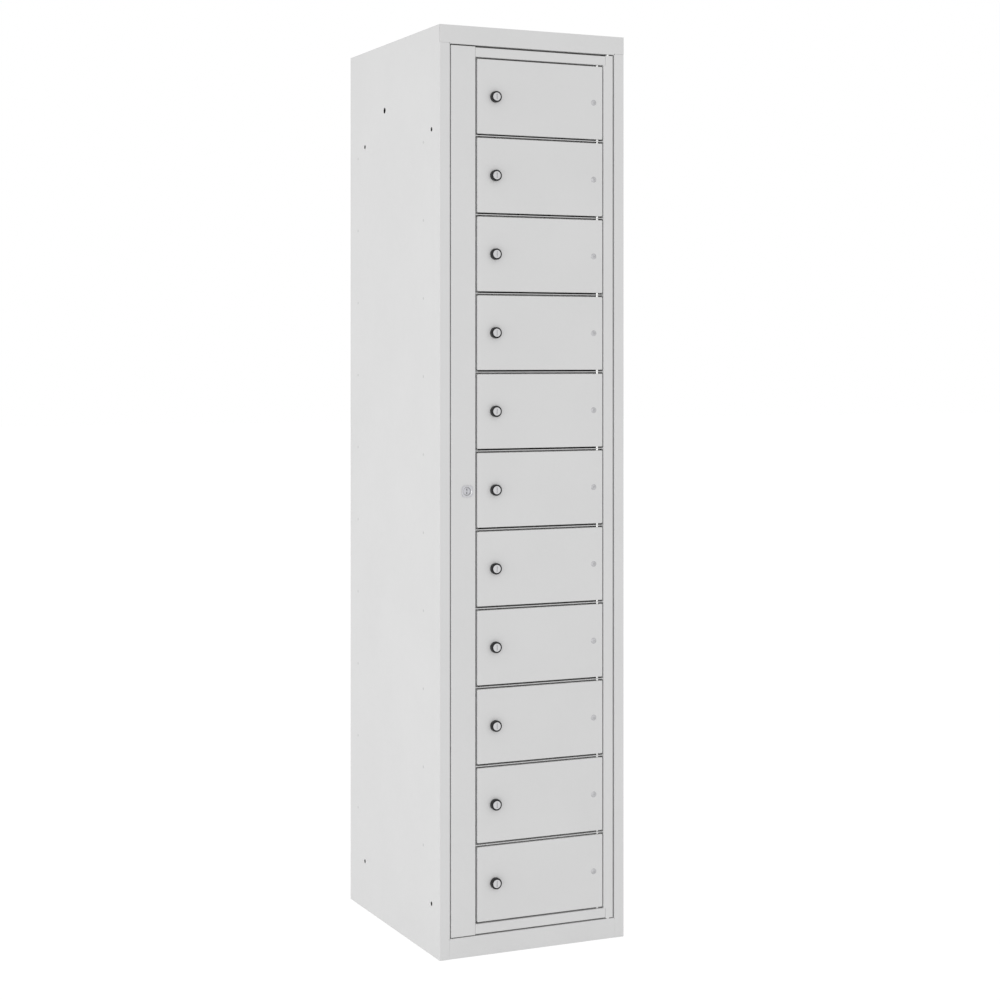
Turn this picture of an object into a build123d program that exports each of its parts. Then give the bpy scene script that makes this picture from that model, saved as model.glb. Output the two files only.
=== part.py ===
from build123d import *
from itertools import cycle
import os

# Phone locker cabinet in folded sheet steel. Eleven small doors, each with its own cam lock,
# hang in one large frame door. The frame door has a lock of its own, so the whole front can
# also be opened at once. Behind it are eleven compartments between ten shelves.
#
# Millimetres. The origin is at the middle of the floor under the carcass, +Z is up, the front
# faces -Y, and both kinds of door hang on the +X side.

# ---- driving dimensions ----------------------------------------------------------------------

width = 400.0  # carcass, over the side panels
depth = 490.0  # carcass, front to back
height = 1800.0
compartments = 11

body_sheet = 0.8  # sheet thickness of the carcass and shelves
frame_sheet = 1.2  # of the frame door
door_sheet = 1.0  # of the small doors
bend = 0.4  # inside radius of every fold
corner_gap = 1.0  # between the edges of two sheets that meet at a welded corner
cut = 1.0  # how far a cutter stands out of what it cuts

jamb_width = 21.6  # front flange of each side panel
jamb_depth = 22.0  # how far the jamb goes back to its stop lip
stop_lip = 9.0  # the lip that the frame door's cam catches behind
edge_flange = 18.0  # rear, top and floor flanges
apron_lip = 15.0  # hangs behind the top of the frame door
back_fold = 16.0  # of the back panel, under the top
plinth_height = 39.6  # front apron at the floor
apron_height = 36.4  # front apron at the top
riser_depth = 23.0  # from the front to the riser behind the frame door's foot

frame_bottom, frame_top = 41.5, 1761.0  # ends of the stiles
lock_gap, hinge_gap = 2.1, 2.7  # between the frame door and the jambs
rail_bottom, rail_top = 42.4, 1759.8  # outer edges of the two rails
lock_stile_width = 51.7
hinge_stile_width = 21.3
hinge_stile_end_width = 17.0  # beside the rails, which run on to it there
outer_return_depth = 18.0  # outer fold of the lock stile
hinge_return_depth = 17.0  # outer fold of the hinge stile, short enough to swing
hinge_flange = 8.0  # inner fold of the hinge stile
rail_return_depth = 14.5  # outer fold of the rails
web_depth = 19.0  # of the rails and crossbars
stop_depth = 15.5  # how far the small doors' stop flange stands behind the front
stop_flange = 12.0
crossbar_drop = 13.0  # flange that hangs behind the top of the door below

row_pitch = 152.8
row_centre = 901.6  # height of the middle of the sixth door
door_width, door_height, door_depth = 273.1, 145.0, 14.0
door_left = -120.9
door_lip = 11.0  # lip folded in along the lock side of a door
door_edge = 0.9  # rounding of a door's front edges

pin_x, pin_inset, pin_radius = 142.5, 6.0, 2.5  # small doors' hinge line
pin_reach = 9.0  # from a crossbar's middle into the door above and below
frame_pin_x, frame_pin_inset, frame_pin_radius = 165.5, 5.0, 3.0  # frame door's hinge line
frame_pin_reach = 8.0  # into each end of the hinge stile
pin_tail = 4.0  # end of a pin that stands past the sheet it is welded in
shoulder_radius, shoulder_gap = 4.0, 0.1  # of the lower frame pin, under the frame door
running_clearance = 0.05  # radial, hinge pins in their holes
plug_clearance = 0.07  # radial, lock plugs in their barrels

shelf_front = 26.0  # behind the carcass front
shelf_side_flange = 20.0
shelf_lip = 15.0

lock_x = -82.8
bezel_radius, bezel_height, bezel_edge = 11.0, 8.2, 1.5
barrel_radius, barrel_length, barrel_flats = 9.5, 17.0, 16.5
plug_face_radius, plug_body_radius, plug_edge = 7.9, 6.5, 0.3
plug_proud = 0.3  # a door plug's face stands this far out of its bezel
frame_plug_sink = 3.5  # the frame lock's plug lies this far inside its plate
bezel_recess, plate_recess, seat_gap = 4.0, 6.5, 0.2  # seats of the plugs' heads
key_slot_width, key_slot_height, key_slot_depth = 2.2, 10.5, 11.0
nut_across_flats, nut_thickness = 24.0, 4.0
cam_length, cam_hub_radius, cam_tip_radius, cam_thickness = 38.0, 9.0, 6.0, 2.0
cam_gap = 0.5  # between a barrel's end and its cam
tail_side = 7.0  # square end of a plug, through the cam
cam_screw_radius, cam_screw_length = 2.5, 10.0
cam_screw_head, cam_screw_head_height = 4.5, 2.5

frame_lock_x, frame_lock_z = -142.5, 900.4
plate_side, plate_corner, plate_thickness, plate_edge = 22.0, 5.0, 1.6, 0.5
frame_plug_face_radius = 7.0
frame_barrel_length = 22.8
frame_cam_length = 34.0

rivet_x = 132.2
rivet_radius, rivet_head_radius, rivet_head_height = 2.4, 6.0, 1.2
rivet_tail_radius, rivet_tail_height = 3.4, 3.0
angle_leg, angle_stand, angle_half_length = 20.0, 10.0, 60.0

joining_hole_radius = 4.25  # for M8 bolts between lockers stood side by side
joining_hole_depths = (41.4, 403.0)  # behind the front
joining_hole_heights = (100.0, 1601.5)
cable_hole_radius, cable_hole_depth, cable_hole_height = 6.0, 290.3, 1665.6

# ---- places worked out from them -------------------------------------------------------------

side = width / 2
front, back = -depth / 2, depth / 2
opening = side - jamb_width  # half the width between the jambs
inner_side = side - body_sheet
under_top = height - body_sheet
apron_bottom = height - apron_height
frame_left, frame_right = -opening + lock_gap, opening - hinge_gap
rows_left = frame_left + lock_stile_width  # edges of the hole the small doors close
rows_right = frame_right - hinge_stile_width
rails_right = frame_right - hinge_stile_end_width
stop_front = front + stop_depth
web_back = front + web_depth
web_notch = stop_front - bend  # behind this a web is narrower, between the stiles' flanges
pin_y = front + pin_inset
frame_pin_y = front + frame_pin_inset
rows_height = row_pitch * compartments
floor_height = row_centre - rows_height / 2  # floor of the lowest compartment
crossbar_heights = [floor_height + row_pitch * (compartments - n) for n in range(1, compartments)]
door_heights = [floor_height + row_pitch * (compartments - n - 0.5) for n in range(compartments)]
rows_bottom = floor_height + frame_sheet / 2
rows_top = floor_height + rows_height - frame_sheet / 2
riser_front = front + riser_depth

LEFT, RIGHT = 1, -1  # the side of a folded sheet's skin on which its metal lies

os.makedirs("parts", exist_ok=True)


# ---- shapes that repeat ----------------------------------------------------------------------

def slab(x, y, z):
    """A plate between a low and a high limit on each axis."""
    middle = [(low + high) / 2 for low, high in (x, y, z)]
    size = [high - low for low, high in (x, y, z)]
    return Pos(*middle) * Box(*size)


def rod(radius, y, x=0.0, z=0.0):
    """A round bar along Y between two limits."""
    return Pos(x, (y[0] + y[1]) / 2, z) * Rot(90, 0, 0) * Cylinder(radius, y[1] - y[0])


def post(radius, z, x, y):
    """A round bar along Z between two limits."""
    return Pos(x, y, (z[0] + z[1]) / 2) * Cylinder(radius, z[1] - z[0])


def fold(points, thickness, inside):
    """The cross-section of a sheet folded at right angles. Its skin runs through the points, and
    the metal lies to the left (1) or right (-1) of the way they run. There is one face for each
    straight run, with the bend that follows it. A fold towards the metal is wider on the skin."""
    corners = [Vector(*point) for point in points]
    runs = [(b - a).normalized() for a, b in zip(corners, corners[1:])]
    normals = [Vector(-run.Y, run.X) * inside for run in runs]
    shifts = [normals[0]] + [a + b for a, b in zip(normals, normals[1:])] + [normals[-1]]
    lining_corners = [corner + shift * thickness for corner, shift in zip(corners, shifts)]
    skin_radii, lining_radii = [0.0], [0.0]
    for a, b in zip(normals, normals[1:]):
        towards_metal = (a.X * b.Y - a.Y * b.X) * inside > 0
        skin_radii.append(bend + thickness if towards_metal else bend)
        lining_radii.append(bend if towards_metal else bend + thickness)
    skin = run_lines(corners, runs, skin_radii + [0.0])
    lining = run_lines(lining_corners, runs, lining_radii + [0.0])
    return [make_face([*a, *b, Line(a[0] @ 0, b[0] @ 0), Line(a[-1] @ 1, b[-1] @ 1)])
            for a, b in zip(skin, lining)]


def run_lines(corners, runs, radii):
    """For each run of a folded line, its straight and the arc that follows it."""
    lines = []
    for n, run in enumerate(runs):
        stop = corners[n + 1] - run * radii[n + 1]
        lines.append([Line(corners[n] + run * radii[n], stop)])
        if n + 1 < len(runs):
            past = corners[n + 1] + runs[n + 1] * radii[n + 1]
            lines[n].append(TangentArc(stop, past, tangent=run))
    return lines


def along_z(section, *spans):
    """Plan faces carried from one height to another, each over its own span or all over one."""
    return [extrude(Plane.XY.offset(low) * face, amount=high - low)
            for face, (low, high) in zip(section, cycle(spans))]


def along_x(section, *spans):
    """Faces seen from the side, carried from left to right in the same way."""
    return [extrude(Plane.YZ.offset(low) * face, amount=high - low)
            for face, (low, high) in zip(section, cycle(spans))]


# ---- carcass ---------------------------------------------------------------------------------

def left_side_panel():
    """Side, jamb and stop lip in one folded sheet, with flanges for the back, top and floor."""
    skin = [
        (-opening + stop_lip, front + jamb_depth),
        (-opening, front + jamb_depth),
        (-opening, front),
        (-side, front),
        (-side, back),
        (-side + edge_flange, back),
    ]
    lip_z = (plinth_height + corner_gap, apron_bottom - corner_gap)
    jamb_z = (0, apron_bottom)
    side_z = (0, under_top)
    section = fold(skin, body_sheet, RIGHT)
    *jamb, plate, rear = along_z(section, lip_z, jamb_z, jamb_z, side_z, side_z)
    for hole_depth in joining_hole_depths:
        for hole_height in joining_hole_heights:
            plate -= side_hole(joining_hole_radius, hole_depth, hole_height)
    plate -= side_hole(cable_hole_radius, cable_hole_depth, cable_hole_height)
    flange_x = (-inner_side, -side + edge_flange)
    flange_y = (front + 2 * corner_gap, back - 3 * corner_gap)
    flanges = [slab(flange_x, flange_y, (top - body_sheet, top)) for top in (body_sheet, under_top)]
    return [*jamb, plate, rear, *flanges]


def side_hole(radius, hole_depth, hole_height):
    """Cutter for a round hole through the left side."""
    place = Pos(-side, front + hole_depth, hole_height)
    return place * Rot(0, 90, 0) * Cylinder(radius, 2 * (body_sheet + cut))


def back_panel():
    """Flat back inside the side panels' rear flanges, folded forward under the top."""
    behind = back - body_sheet
    skin = [(behind, corner_gap), (behind, under_top), (behind - back_fold, under_top)]
    half = side - 2 * corner_gap
    fold_half = side - edge_flange - corner_gap
    return along_x(fold(skin, body_sheet, LEFT), (-half, half), (-fold_half, fold_half))


def top_panel():
    """Top and front apron, with a ledge over the frame door and a lip that it closes against."""
    skin = [
        (front + jamb_depth, apron_bottom - apron_lip),
        (front + jamb_depth, apron_bottom),
        (front, apron_bottom),
        (front, height),
        (back, height),
    ]
    lip_half = opening - stop_lip - corner_gap
    lip_x, ledge_x, skin_x = (-lip_half, lip_half), (-inner_side, inner_side), (-side, side)
    section = fold(skin, body_sheet, RIGHT)
    lip, ledge, apron, top = along_x(section, lip_x, ledge_x, skin_x, skin_x)
    through = (apron_bottom - cut, apron_bottom + body_sheet + cut)
    ledge -= post(frame_pin_radius, through, frame_pin_x, frame_pin_y)
    return [lip, ledge, apron, top]


def bottom_panel():
    """Base on the floor, plinth, ledge under the frame door, riser and the lowest floor."""
    rear = back - 2 * body_sheet
    skin = [
        (rear - corner_gap, 0),
        (front, 0),
        (front, plinth_height),
        (riser_front, plinth_height),
        (riser_front, floor_height),
        (rear, floor_height),
        (rear, floor_height - edge_flange),
    ]
    base, plinth, ledge, *floor = along_x(fold(skin, body_sheet, RIGHT), (-opening, opening))
    through = (plinth_height - body_sheet - cut, plinth_height + cut)
    ledge -= post(frame_pin_radius, through, frame_pin_x, frame_pin_y)
    wings = []
    wing_y = (riser_front + 2 * corner_gap, rear - 2 * corner_gap)
    for sign in (-1, 1):
        wing = sorted((sign * opening, sign * inner_side))
        wings.append(slab(wing, wing_y, (floor_height - body_sheet, floor_height)))
        flange = sorted((sign * (inner_side - body_sheet), sign * inner_side))
        flange_z = (floor_height - shelf_side_flange, floor_height - body_sheet)
        wings.append(slab(flange, wing_y, flange_z))
    return [base, plinth, ledge, *floor, *wings]


def shelf(z):
    """Tray turned upside down: flanges at the sides, lips at the front and back."""
    top = z + body_sheet / 2
    near, far = front + shelf_front, back - 2 * body_sheet
    skin = [(near, top - shelf_lip), (near, top), (far, top), (far, top - shelf_lip)]
    tray = along_x(fold(skin, body_sheet, RIGHT), (-inner_side, inner_side))
    for sign in (-1, 1):
        flange = sorted((sign * (inner_side - body_sheet), sign * inner_side))
        flange_y = (near + 2 * corner_gap, far - 2 * corner_gap)
        tray.append(slab(flange, flange_y, (top - shelf_side_flange, top - body_sheet)))
    return tray


def frame_hinge_pins():
    """Pin welded into the top ledge, and one in the plinth's ledge with a shoulder that carries
    the frame door."""
    where = (frame_pin_x, frame_pin_y)
    upper_z = (frame_top - frame_pin_reach, apron_bottom + pin_tail)
    lower_z = (plinth_height - pin_tail, frame_bottom + frame_pin_reach)
    upper = post(frame_pin_radius, upper_z, *where)
    lower = post(frame_pin_radius, lower_z, *where)
    lower += post(shoulder_radius, (plinth_height, frame_bottom - shoulder_gap), *where)
    return [upper, lower]


# ---- frame door ------------------------------------------------------------------------------

def lock_stile():
    """Wide stile with the frame door's lock; its flange stops the small doors and holds their cams."""
    skin = [
        (frame_left, front + outer_return_depth),
        (frame_left, front),
        (rows_left, front),
        (rows_left, stop_front),
        (rows_left + stop_flange, stop_front),
    ]
    outer, face, inner, flange = along_z(fold(skin, frame_sheet, LEFT), (frame_bottom, frame_top))
    through = (front - cut, front + frame_sheet + cut)
    face -= rod(barrel_radius, through, frame_lock_x, frame_lock_z)
    return [outer, face, inner, flange]


def hinge_stile():
    """Narrow stile, cut narrower beside the rails, with a pivot plate at each end for the frame
    door's pins."""
    skin = [
        (rows_right - hinge_flange, web_back),
        (rows_right, web_back),
        (rows_right, front),
        (frame_right, front),
        (frame_right, front + hinge_return_depth),
    ]
    rows_z, stile_z = (rows_bottom, rows_top), (frame_bottom, frame_top)
    section = fold(skin, frame_sheet, LEFT)
    flange, inner, face, outer = along_z(section, rows_z, rows_z, stile_z, stile_z)
    notch_x, notch_y = (rows_right - cut, rails_right), (front - cut, front + frame_sheet + cut)
    for z in ((frame_bottom - cut, rows_bottom), (rows_top, frame_top + cut)):
        face -= slab(notch_x, notch_y, z)
    stile = [flange, inner, face, outer]
    plate_x = (rails_right, frame_right - frame_sheet)
    plate_y = (front + frame_sheet, front + hinge_return_depth)
    hole = post(frame_pin_radius + running_clearance, (0, height), frame_pin_x, frame_pin_y)
    for z in ((frame_bottom, frame_bottom + frame_sheet), (frame_top - frame_sheet, frame_top)):
        stile.append(slab(plate_x, plate_y, z) - hole)
    return stile


def pin_hole(z):
    """Cutter for a small doors' hinge pin through a web."""
    return post(pin_radius, (z[0] - cut, z[1] + cut), pin_x, pin_y)


def rear_web(z):
    """The part of a web between the stiles' flanges."""
    return slab((rows_left + stop_flange, rows_right - bend), (web_notch, web_back), z)


def hanging_flange(top):
    """Rear flange of a web. It hangs behind the top of the door below and stops it."""
    x = (rows_left + stop_flange, rows_right - hinge_flange)
    drop = (top - frame_sheet - crossbar_drop, top)
    flange = slab(x, (web_back, web_back + frame_sheet), drop)
    rear_top = flange.edges().filter_by(Axis.X).sort_by(lambda edge: edge.center().Y + edge.center().Z)
    return fillet(rear_top[-1], bend)


def top_rail():
    """Face of the frame door above the first small door, with a web under it."""
    skin = [
        (front + rail_return_depth, rail_top),
        (front, rail_top),
        (front, rows_top),
        (web_notch, rows_top),
    ]
    web_z = (rows_top, rows_top + frame_sheet)
    edge, face, web = along_x(fold(skin, frame_sheet, LEFT), (rows_left, rails_right))
    return [edge, face, web - pin_hole(web_z), rear_web(web_z), hanging_flange(web_z[1])]


def bottom_rail():
    """Face of the frame door below the last small door, with a web on top."""
    skin = [
        (front + rail_return_depth, rail_bottom),
        (front, rail_bottom),
        (front, rows_bottom),
        (web_notch, rows_bottom),
    ]
    web_z = (rows_bottom - frame_sheet, rows_bottom)
    edge, face, web = along_x(fold(skin, frame_sheet, RIGHT), (rows_left, rails_right))
    return [edge, face, web - pin_hole(web_z), rear_web(web_z)]


def crossbar(z):
    """Angle between two small doors; only its front edge shows."""
    web_z = (z - frame_sheet / 2, z + frame_sheet / 2)
    web = slab((rows_left, rows_right), (front, web_notch), web_z) - pin_hole(web_z)
    return [web, rear_web(web_z), hanging_flange(web_z[1])]


def compartment_hinge_pins():
    """One pin through each web, which serves the door above and the door below it."""
    pins = [
        post(pin_radius, (z - pin_reach, z + pin_reach), pin_x, pin_y) for z in crossbar_heights
    ]
    upper, lower = floor_height + rows_height, floor_height
    pins.append(post(pin_radius, (upper - pin_reach, upper + pin_tail), pin_x, pin_y))
    pins.append(post(pin_radius, (lower - pin_tail, lower + pin_reach), pin_x, pin_y))
    return pins


# ---- small doors -----------------------------------------------------------------------------

def compartment_door(z):
    """Door folded back on four sides with a lip along the lock, its stiffening angle and the
    rivet through both."""
    left, right = door_left, door_left + door_width
    low, high = z - door_height / 2, z + door_height / 2
    skin_back, rim = front + door_sheet, front + door_depth
    through = (front - cut, skin_back + cut)
    face = slab((left, right), (front, skin_back), (low, high))
    face = fillet(face.faces().sort_by(Axis.Y)[0].edges(), door_edge)
    face -= rod(barrel_radius, through, lock_x, z) + rod(rivet_radius, through, rivet_x, z)

    walls_y = (skin_back, rim)
    between_x = (left + door_sheet, right - door_sheet)
    between_z = (low + door_sheet, high - door_sheet)
    hinge_hole = post(pin_radius + running_clearance, (low - cut, high + cut), pin_x, pin_y)
    door = [
        face,
        slab((left, left + door_sheet), walls_y, (low, high)),
        slab((right - door_sheet, right), walls_y, (low, high)),
        slab(between_x, walls_y, (low, low + door_sheet)) - hinge_hole,
        slab(between_x, walls_y, (high - door_sheet, high)) - hinge_hole,
        slab((left + door_sheet, left + door_lip), (rim - door_sheet, rim), between_z),
    ]

    leg_x = (rivet_x - angle_leg / 2, rivet_x + angle_leg / 2)
    angle_z = (z - angle_half_length, z + angle_half_length)
    leg = slab(leg_x, (skin_back, skin_back + door_sheet), angle_z)
    leg -= rod(rivet_radius, (skin_back - cut, skin_back + door_sheet + cut), rivet_x, z)
    stand_y = (skin_back + door_sheet, skin_back + angle_stand)
    stand = slab((leg_x[0], leg_x[0] + door_sheet), stand_y, angle_z)
    return [*door, leg, stand, dome_rivet(rivet_x, z)]


def dome_rivet(x, z):
    """Blind rivet with a domed head on the front."""
    cap_radius = (rivet_head_radius**2 + rivet_head_height**2) / (2 * rivet_head_height)
    ball = Pos(x, front - rivet_head_height + cap_radius, z) * Sphere(cap_radius)
    head = ball & rod(cap_radius, (front - rivet_head_height - cut, front), x, z)
    grip = front + 2 * door_sheet
    tail = rod(rivet_tail_radius, (grip, grip + rivet_tail_height), x, z)
    return head + rod(rivet_radius, (front, grip), x, z) + tail


# ---- locks -----------------------------------------------------------------------------------

def hex_nut(sheet, x, z):
    """Thin nut that clamps a barrel behind its sheet."""
    outline = RegularPolygon(nut_across_flats / 2, 6, major_radius=False)
    nut = extrude(Plane.XZ * outline, amount=-nut_thickness)
    return Pos(x, front + sheet, z) * (nut - rod(barrel_radius, (-cut, nut_thickness + cut)))


def lock_barrel(z):
    """Black bezel and flatted barrel, bored for the plug, with its nut."""
    face = front - bezel_height
    end = front + barrel_length
    bezel = rod(bezel_radius, (face, front))
    bezel = fillet(bezel.edges().sort_by(Axis.Y)[0], bezel_edge)
    barrel = bezel + rod(barrel_radius, (front, end))
    behind_nut = (front + door_sheet + nut_thickness, end + cut)
    for sign in (-1, 1):
        flat = sorted((sign * barrel_flats / 2, sign * bezel_radius))
        barrel -= slab(flat, behind_nut, (-bezel_radius, bezel_radius))
    barrel -= rod(plug_face_radius + plug_clearance, (face - cut, face + bezel_recess))
    barrel -= rod(plug_body_radius + plug_clearance, (face, end + cut))
    return [Pos(lock_x, 0, z) * barrel, hex_nut(door_sheet, lock_x, z)]


def keyed_plug(face, seat, head_radius, end):
    """Plug with its head in front of a seat, the key slot upright and a square tail that turns the
    cam."""
    head_back = seat - seat_gap
    tail_end = end + cam_gap + cam_thickness
    head = rod(head_radius, (face, head_back))
    head = fillet(head.edges().sort_by(Axis.Y)[0], plug_edge)
    plug = head + rod(plug_body_radius, (head_back, end))
    half_tail = tail_side / 2
    plug += slab((-half_tail, half_tail), (end, tail_end), (-half_tail, half_tail))
    half_width, half_height = key_slot_width / 2, key_slot_height / 2
    slot_y = (face - cut, face + key_slot_depth)
    plug -= slab((-half_width, half_width), slot_y, (-half_height, half_height))
    return plug - rod(cam_screw_radius, (tail_end - cam_screw_length, tail_end + cut))


def cam_and_screw(end, length):
    """Cam hanging down, which is unlocked, and the screw that holds it on the plug."""
    near = end + cam_gap
    far = near + cam_thickness
    tip = cam_tip_radius - length
    cam = rod(cam_hub_radius, (near, far)) + rod(cam_tip_radius, (near, far), 0, tip)
    cam += slab((-cam_tip_radius, cam_tip_radius), (near, far), (tip, 0))
    half_tail = tail_side / 2
    cam -= slab((-half_tail, half_tail), (near - cut, far + cut), (-half_tail, half_tail))
    screw = rod(cam_screw_radius, (far - cam_screw_length, far))
    screw += rod(cam_screw_head, (far, far + cam_screw_head_height))
    return [cam, screw]


def lock_plug(z):
    rim, end = front - bezel_height, front + barrel_length
    plug = keyed_plug(rim - plug_proud, rim + bezel_recess, plug_face_radius, end)
    return Pos(lock_x, 0, z) * plug


def lock_cam(z):
    return [Pos(lock_x, 0, z) * piece for piece in cam_and_screw(front + barrel_length, cam_length)]


def frame_lock_body():
    """Rounded square plate on the lock stile, barrel and nut."""
    face = front - plate_thickness
    end = front + frame_barrel_length
    outline = RectangleRounded(plate_side, plate_side, plate_corner)
    plate = Pos(0, front, 0) * extrude(Plane.XZ * outline, amount=plate_thickness)
    rim = plate.faces().sort_by(Axis.Y)[0].edges()
    body = fillet(rim, plate_edge) + rod(barrel_radius, (front, end))
    body -= rod(frame_plug_face_radius + plug_clearance, (face - cut, face + plate_recess))
    body -= rod(plug_body_radius + plug_clearance, (face, end + cut))
    body = Pos(frame_lock_x, 0, frame_lock_z) * body
    return [body, hex_nut(frame_sheet, frame_lock_x, frame_lock_z)]


def frame_lock_plug():
    rim, end = front - plate_thickness, front + frame_barrel_length
    plug = keyed_plug(rim + frame_plug_sink, rim + plate_recess, frame_plug_face_radius, end)
    return Pos(frame_lock_x, 0, frame_lock_z) * plug


def frame_lock_cam():
    place = Pos(frame_lock_x, 0, frame_lock_z)
    return [place * piece for piece in cam_and_screw(front + frame_barrel_length, frame_cam_length)]


# ---- assembly --------------------------------------------------------------------------------

left_side = left_side_panel()
nodes = {
    "left_side_panel": left_side,
    "right_side_panel": [mirror(piece, about=Plane.YZ) for piece in left_side],
    "back_panel": back_panel(),
    "top_panel": top_panel(),
    "bottom_panel": bottom_panel(),
    "shelves": [piece for z in crossbar_heights for piece in shelf(z)],
    "frame_hinge_pins": frame_hinge_pins(),
    "frame_lock_stile": lock_stile(),
    "frame_hinge_stile": hinge_stile(),
    "frame_top_rail": top_rail(),
    "frame_bottom_rail": bottom_rail(),
    "frame_crossbars": [piece for z in crossbar_heights for piece in crossbar(z)],
    "compartment_hinge_pins": compartment_hinge_pins(),
    "frame_lock_body": frame_lock_body(),
    "frame_lock_plug": frame_lock_plug(),
    "frame_lock_cam": frame_lock_cam(),
}
for number, z in enumerate(door_heights, start=1):
    nodes[f"compartment_door_{number:02d}"] = compartment_door(z)
    nodes[f"lock_barrel_{number:02d}"] = lock_barrel(z)
    nodes[f"lock_plug_{number:02d}"] = lock_plug(z)
    nodes[f"lock_cam_{number:02d}"] = lock_cam(z)

for name, shape in nodes.items():
    pieces = shape if isinstance(shape, list) else [shape]
    solids = [solid for piece in pieces for solid in piece.solids()]
    node = Compound(children=solids) if len(solids) > 1 else solids[0]
    export_step(node, f"parts/{name}.step")
print(len(nodes), "nodes written")
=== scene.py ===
# %% [markdown]
# # A steel locker for phones
#
# The real cabinet is folded from painted sheet steel, 1.8 m tall. Eleven small doors, each with a
# cam lock, hang in one large frame door that has a lock of its own. Almost everything on it is
# one of two things: a flat sheet with right-angled folds, or a small turned metal part. So this
# lesson makes two tools, one for folded sheet and one for turned parts, and then uses them again
# and again with different numbers.
#
# First the engineered model is loaded. It fixes where everything is and what moves with what.

# %% Load the frame
from types import SimpleNamespace

import bpy
import numpy as np
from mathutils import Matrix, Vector


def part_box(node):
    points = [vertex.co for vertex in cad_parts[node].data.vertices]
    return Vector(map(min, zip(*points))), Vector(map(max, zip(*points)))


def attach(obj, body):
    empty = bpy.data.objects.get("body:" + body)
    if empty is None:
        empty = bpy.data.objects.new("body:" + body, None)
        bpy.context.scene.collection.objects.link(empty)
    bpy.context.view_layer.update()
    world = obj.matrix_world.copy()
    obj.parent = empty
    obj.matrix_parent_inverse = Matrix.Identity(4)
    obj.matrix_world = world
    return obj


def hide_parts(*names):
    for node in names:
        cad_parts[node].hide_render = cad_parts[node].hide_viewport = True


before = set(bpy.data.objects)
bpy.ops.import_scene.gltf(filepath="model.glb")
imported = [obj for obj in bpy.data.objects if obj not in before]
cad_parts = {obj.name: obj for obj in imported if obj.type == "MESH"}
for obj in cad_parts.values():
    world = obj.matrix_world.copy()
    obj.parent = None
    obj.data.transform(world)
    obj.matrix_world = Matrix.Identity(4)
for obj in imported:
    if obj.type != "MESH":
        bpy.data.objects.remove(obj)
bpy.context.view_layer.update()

# %% [markdown]
# ## Millimetres
#
# Blender counts in metres, but a sheet-metal worker thinks in millimetres, and so do the numbers
# below. They are turned into metres at the one place where a mesh is made.

# %% Millimetres, and where the engineered parts are
MM = 0.001
X, Y, Z = 0, 1, 2


def box_mm(node):
    """Lowest and highest corner of an engineered part, in millimetres."""
    low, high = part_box(node)
    return np.array(low) / MM, np.array(high) / MM


side_low, side_high = box_mm("left_side_panel")
side = -side_low[X]
front, back = side_low[Y], side_high[Y]
under_top = side_high[Z]
height = box_mm("top_panel")[1][Z]
print(f"cabinet {2 * side:.0f} x {back - front:.0f} x {height:.0f} mm")

# %% [markdown]
# ## Closed meshes
#
# A mesh is kept here as an array of points and a list of face arrays, where each row holds the
# corners of one face. A real sheet has a thickness, so each skin is closed into a shell. Blender's
# Solidify modifier can do that, but worked out one by one the inside of a fold gets its exact
# radius.

# %% Points and faces in arrays
# which of three measures is x, y and z: the first two lie across this axis, the third along it
MEASURES = {"X": [2, 0, 1], "Y": [0, 2, 1], "Z": [0, 1, 2]}


def points_along(axis, first, second, third):
    """Points from two measures across an axis and one along it, spread over a common grid."""
    return np.stack(np.broadcast_arrays(first, second, third), axis=-1)[..., MEASURES[axis]]


def quads(grid):
    """The four corners of each cell in a grid of point numbers."""
    return np.stack([grid[:-1, :-1], grid[1:, :-1], grid[1:, 1:], grid[:-1, 1:]], axis=-1)


def edges_of(faces):
    """The numbers at the start and at the end of every edge, in the order the faces run."""
    ends = [np.stack([face, np.roll(face, -1, axis=1)], axis=-1).reshape(-1, 2) for face in faces]
    return np.concatenate(ends).T


# %% Skins that grow patch by patch
class Skin:
    """An open surface: its points, the way into the metal at each, and its faces."""

    def __init__(self):
        self.points, self.inward, self.faces, self.count = [], [], [], 0

    def add(self, points, inward):
        """Adds an array of points and returns their numbers in the same shape."""
        shape = points.shape[:-1]
        self.points.append(points.reshape(-1, 3))
        self.inward.append(np.broadcast_to(inward, points.shape).reshape(-1, 3))
        numbers = self.count + np.arange(np.prod(shape)).reshape(shape)
        self.count += numbers.size
        return numbers

    def cells(self, grid, keep=True):
        """A quad for each cell of a grid of point numbers, where keep is true."""
        corners = quads(grid)
        self.faces.append(corners[np.broadcast_to(keep, corners.shape[:2])])

    def shell(self, thickness, flip=False):
        """Inside point = skin point + thickness times the way in. The inside has the same faces
        the other way round, and each edge that only one face uses gets a rim."""
        used = np.unique(np.concatenate([face.ravel() for face in self.faces]))
        faces = [np.searchsorted(used, face) for face in self.faces]
        faces = [face[:, ::-1] for face in faces] if flip else faces
        skin = np.concatenate(self.points)[used]
        lining = skin + thickness * np.concatenate(self.inward)[used]
        start, end = edges_of(faces)
        alone = ~np.isin(start * len(used) + end, end * len(used) + start)
        start, end = start[alone], end[alone]
        rims = np.stack([end, start, start + len(used), end + len(used)], axis=1)
        inside = [face[:, ::-1] + len(used) for face in faces]
        return np.concatenate([skin, lining]), [*faces, *inside, rims]


# %% Put meshes together, move and mirror them
def joined(*meshes):
    """Several closed meshes as one, with the later ones' face numbers counted on."""
    starts = np.cumsum([0] + [len(points) for points, _ in meshes])
    faces = [face + start for (_, group), start in zip(meshes, starts) for face in group]
    return np.concatenate([points for points, _ in meshes]), faces


def moved(mesh, x=0.0, y=0.0, z=0.0):
    """The same mesh, each point shifted by x, y and z."""
    return mesh[0] + np.array([x, y, z]), mesh[1]


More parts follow.
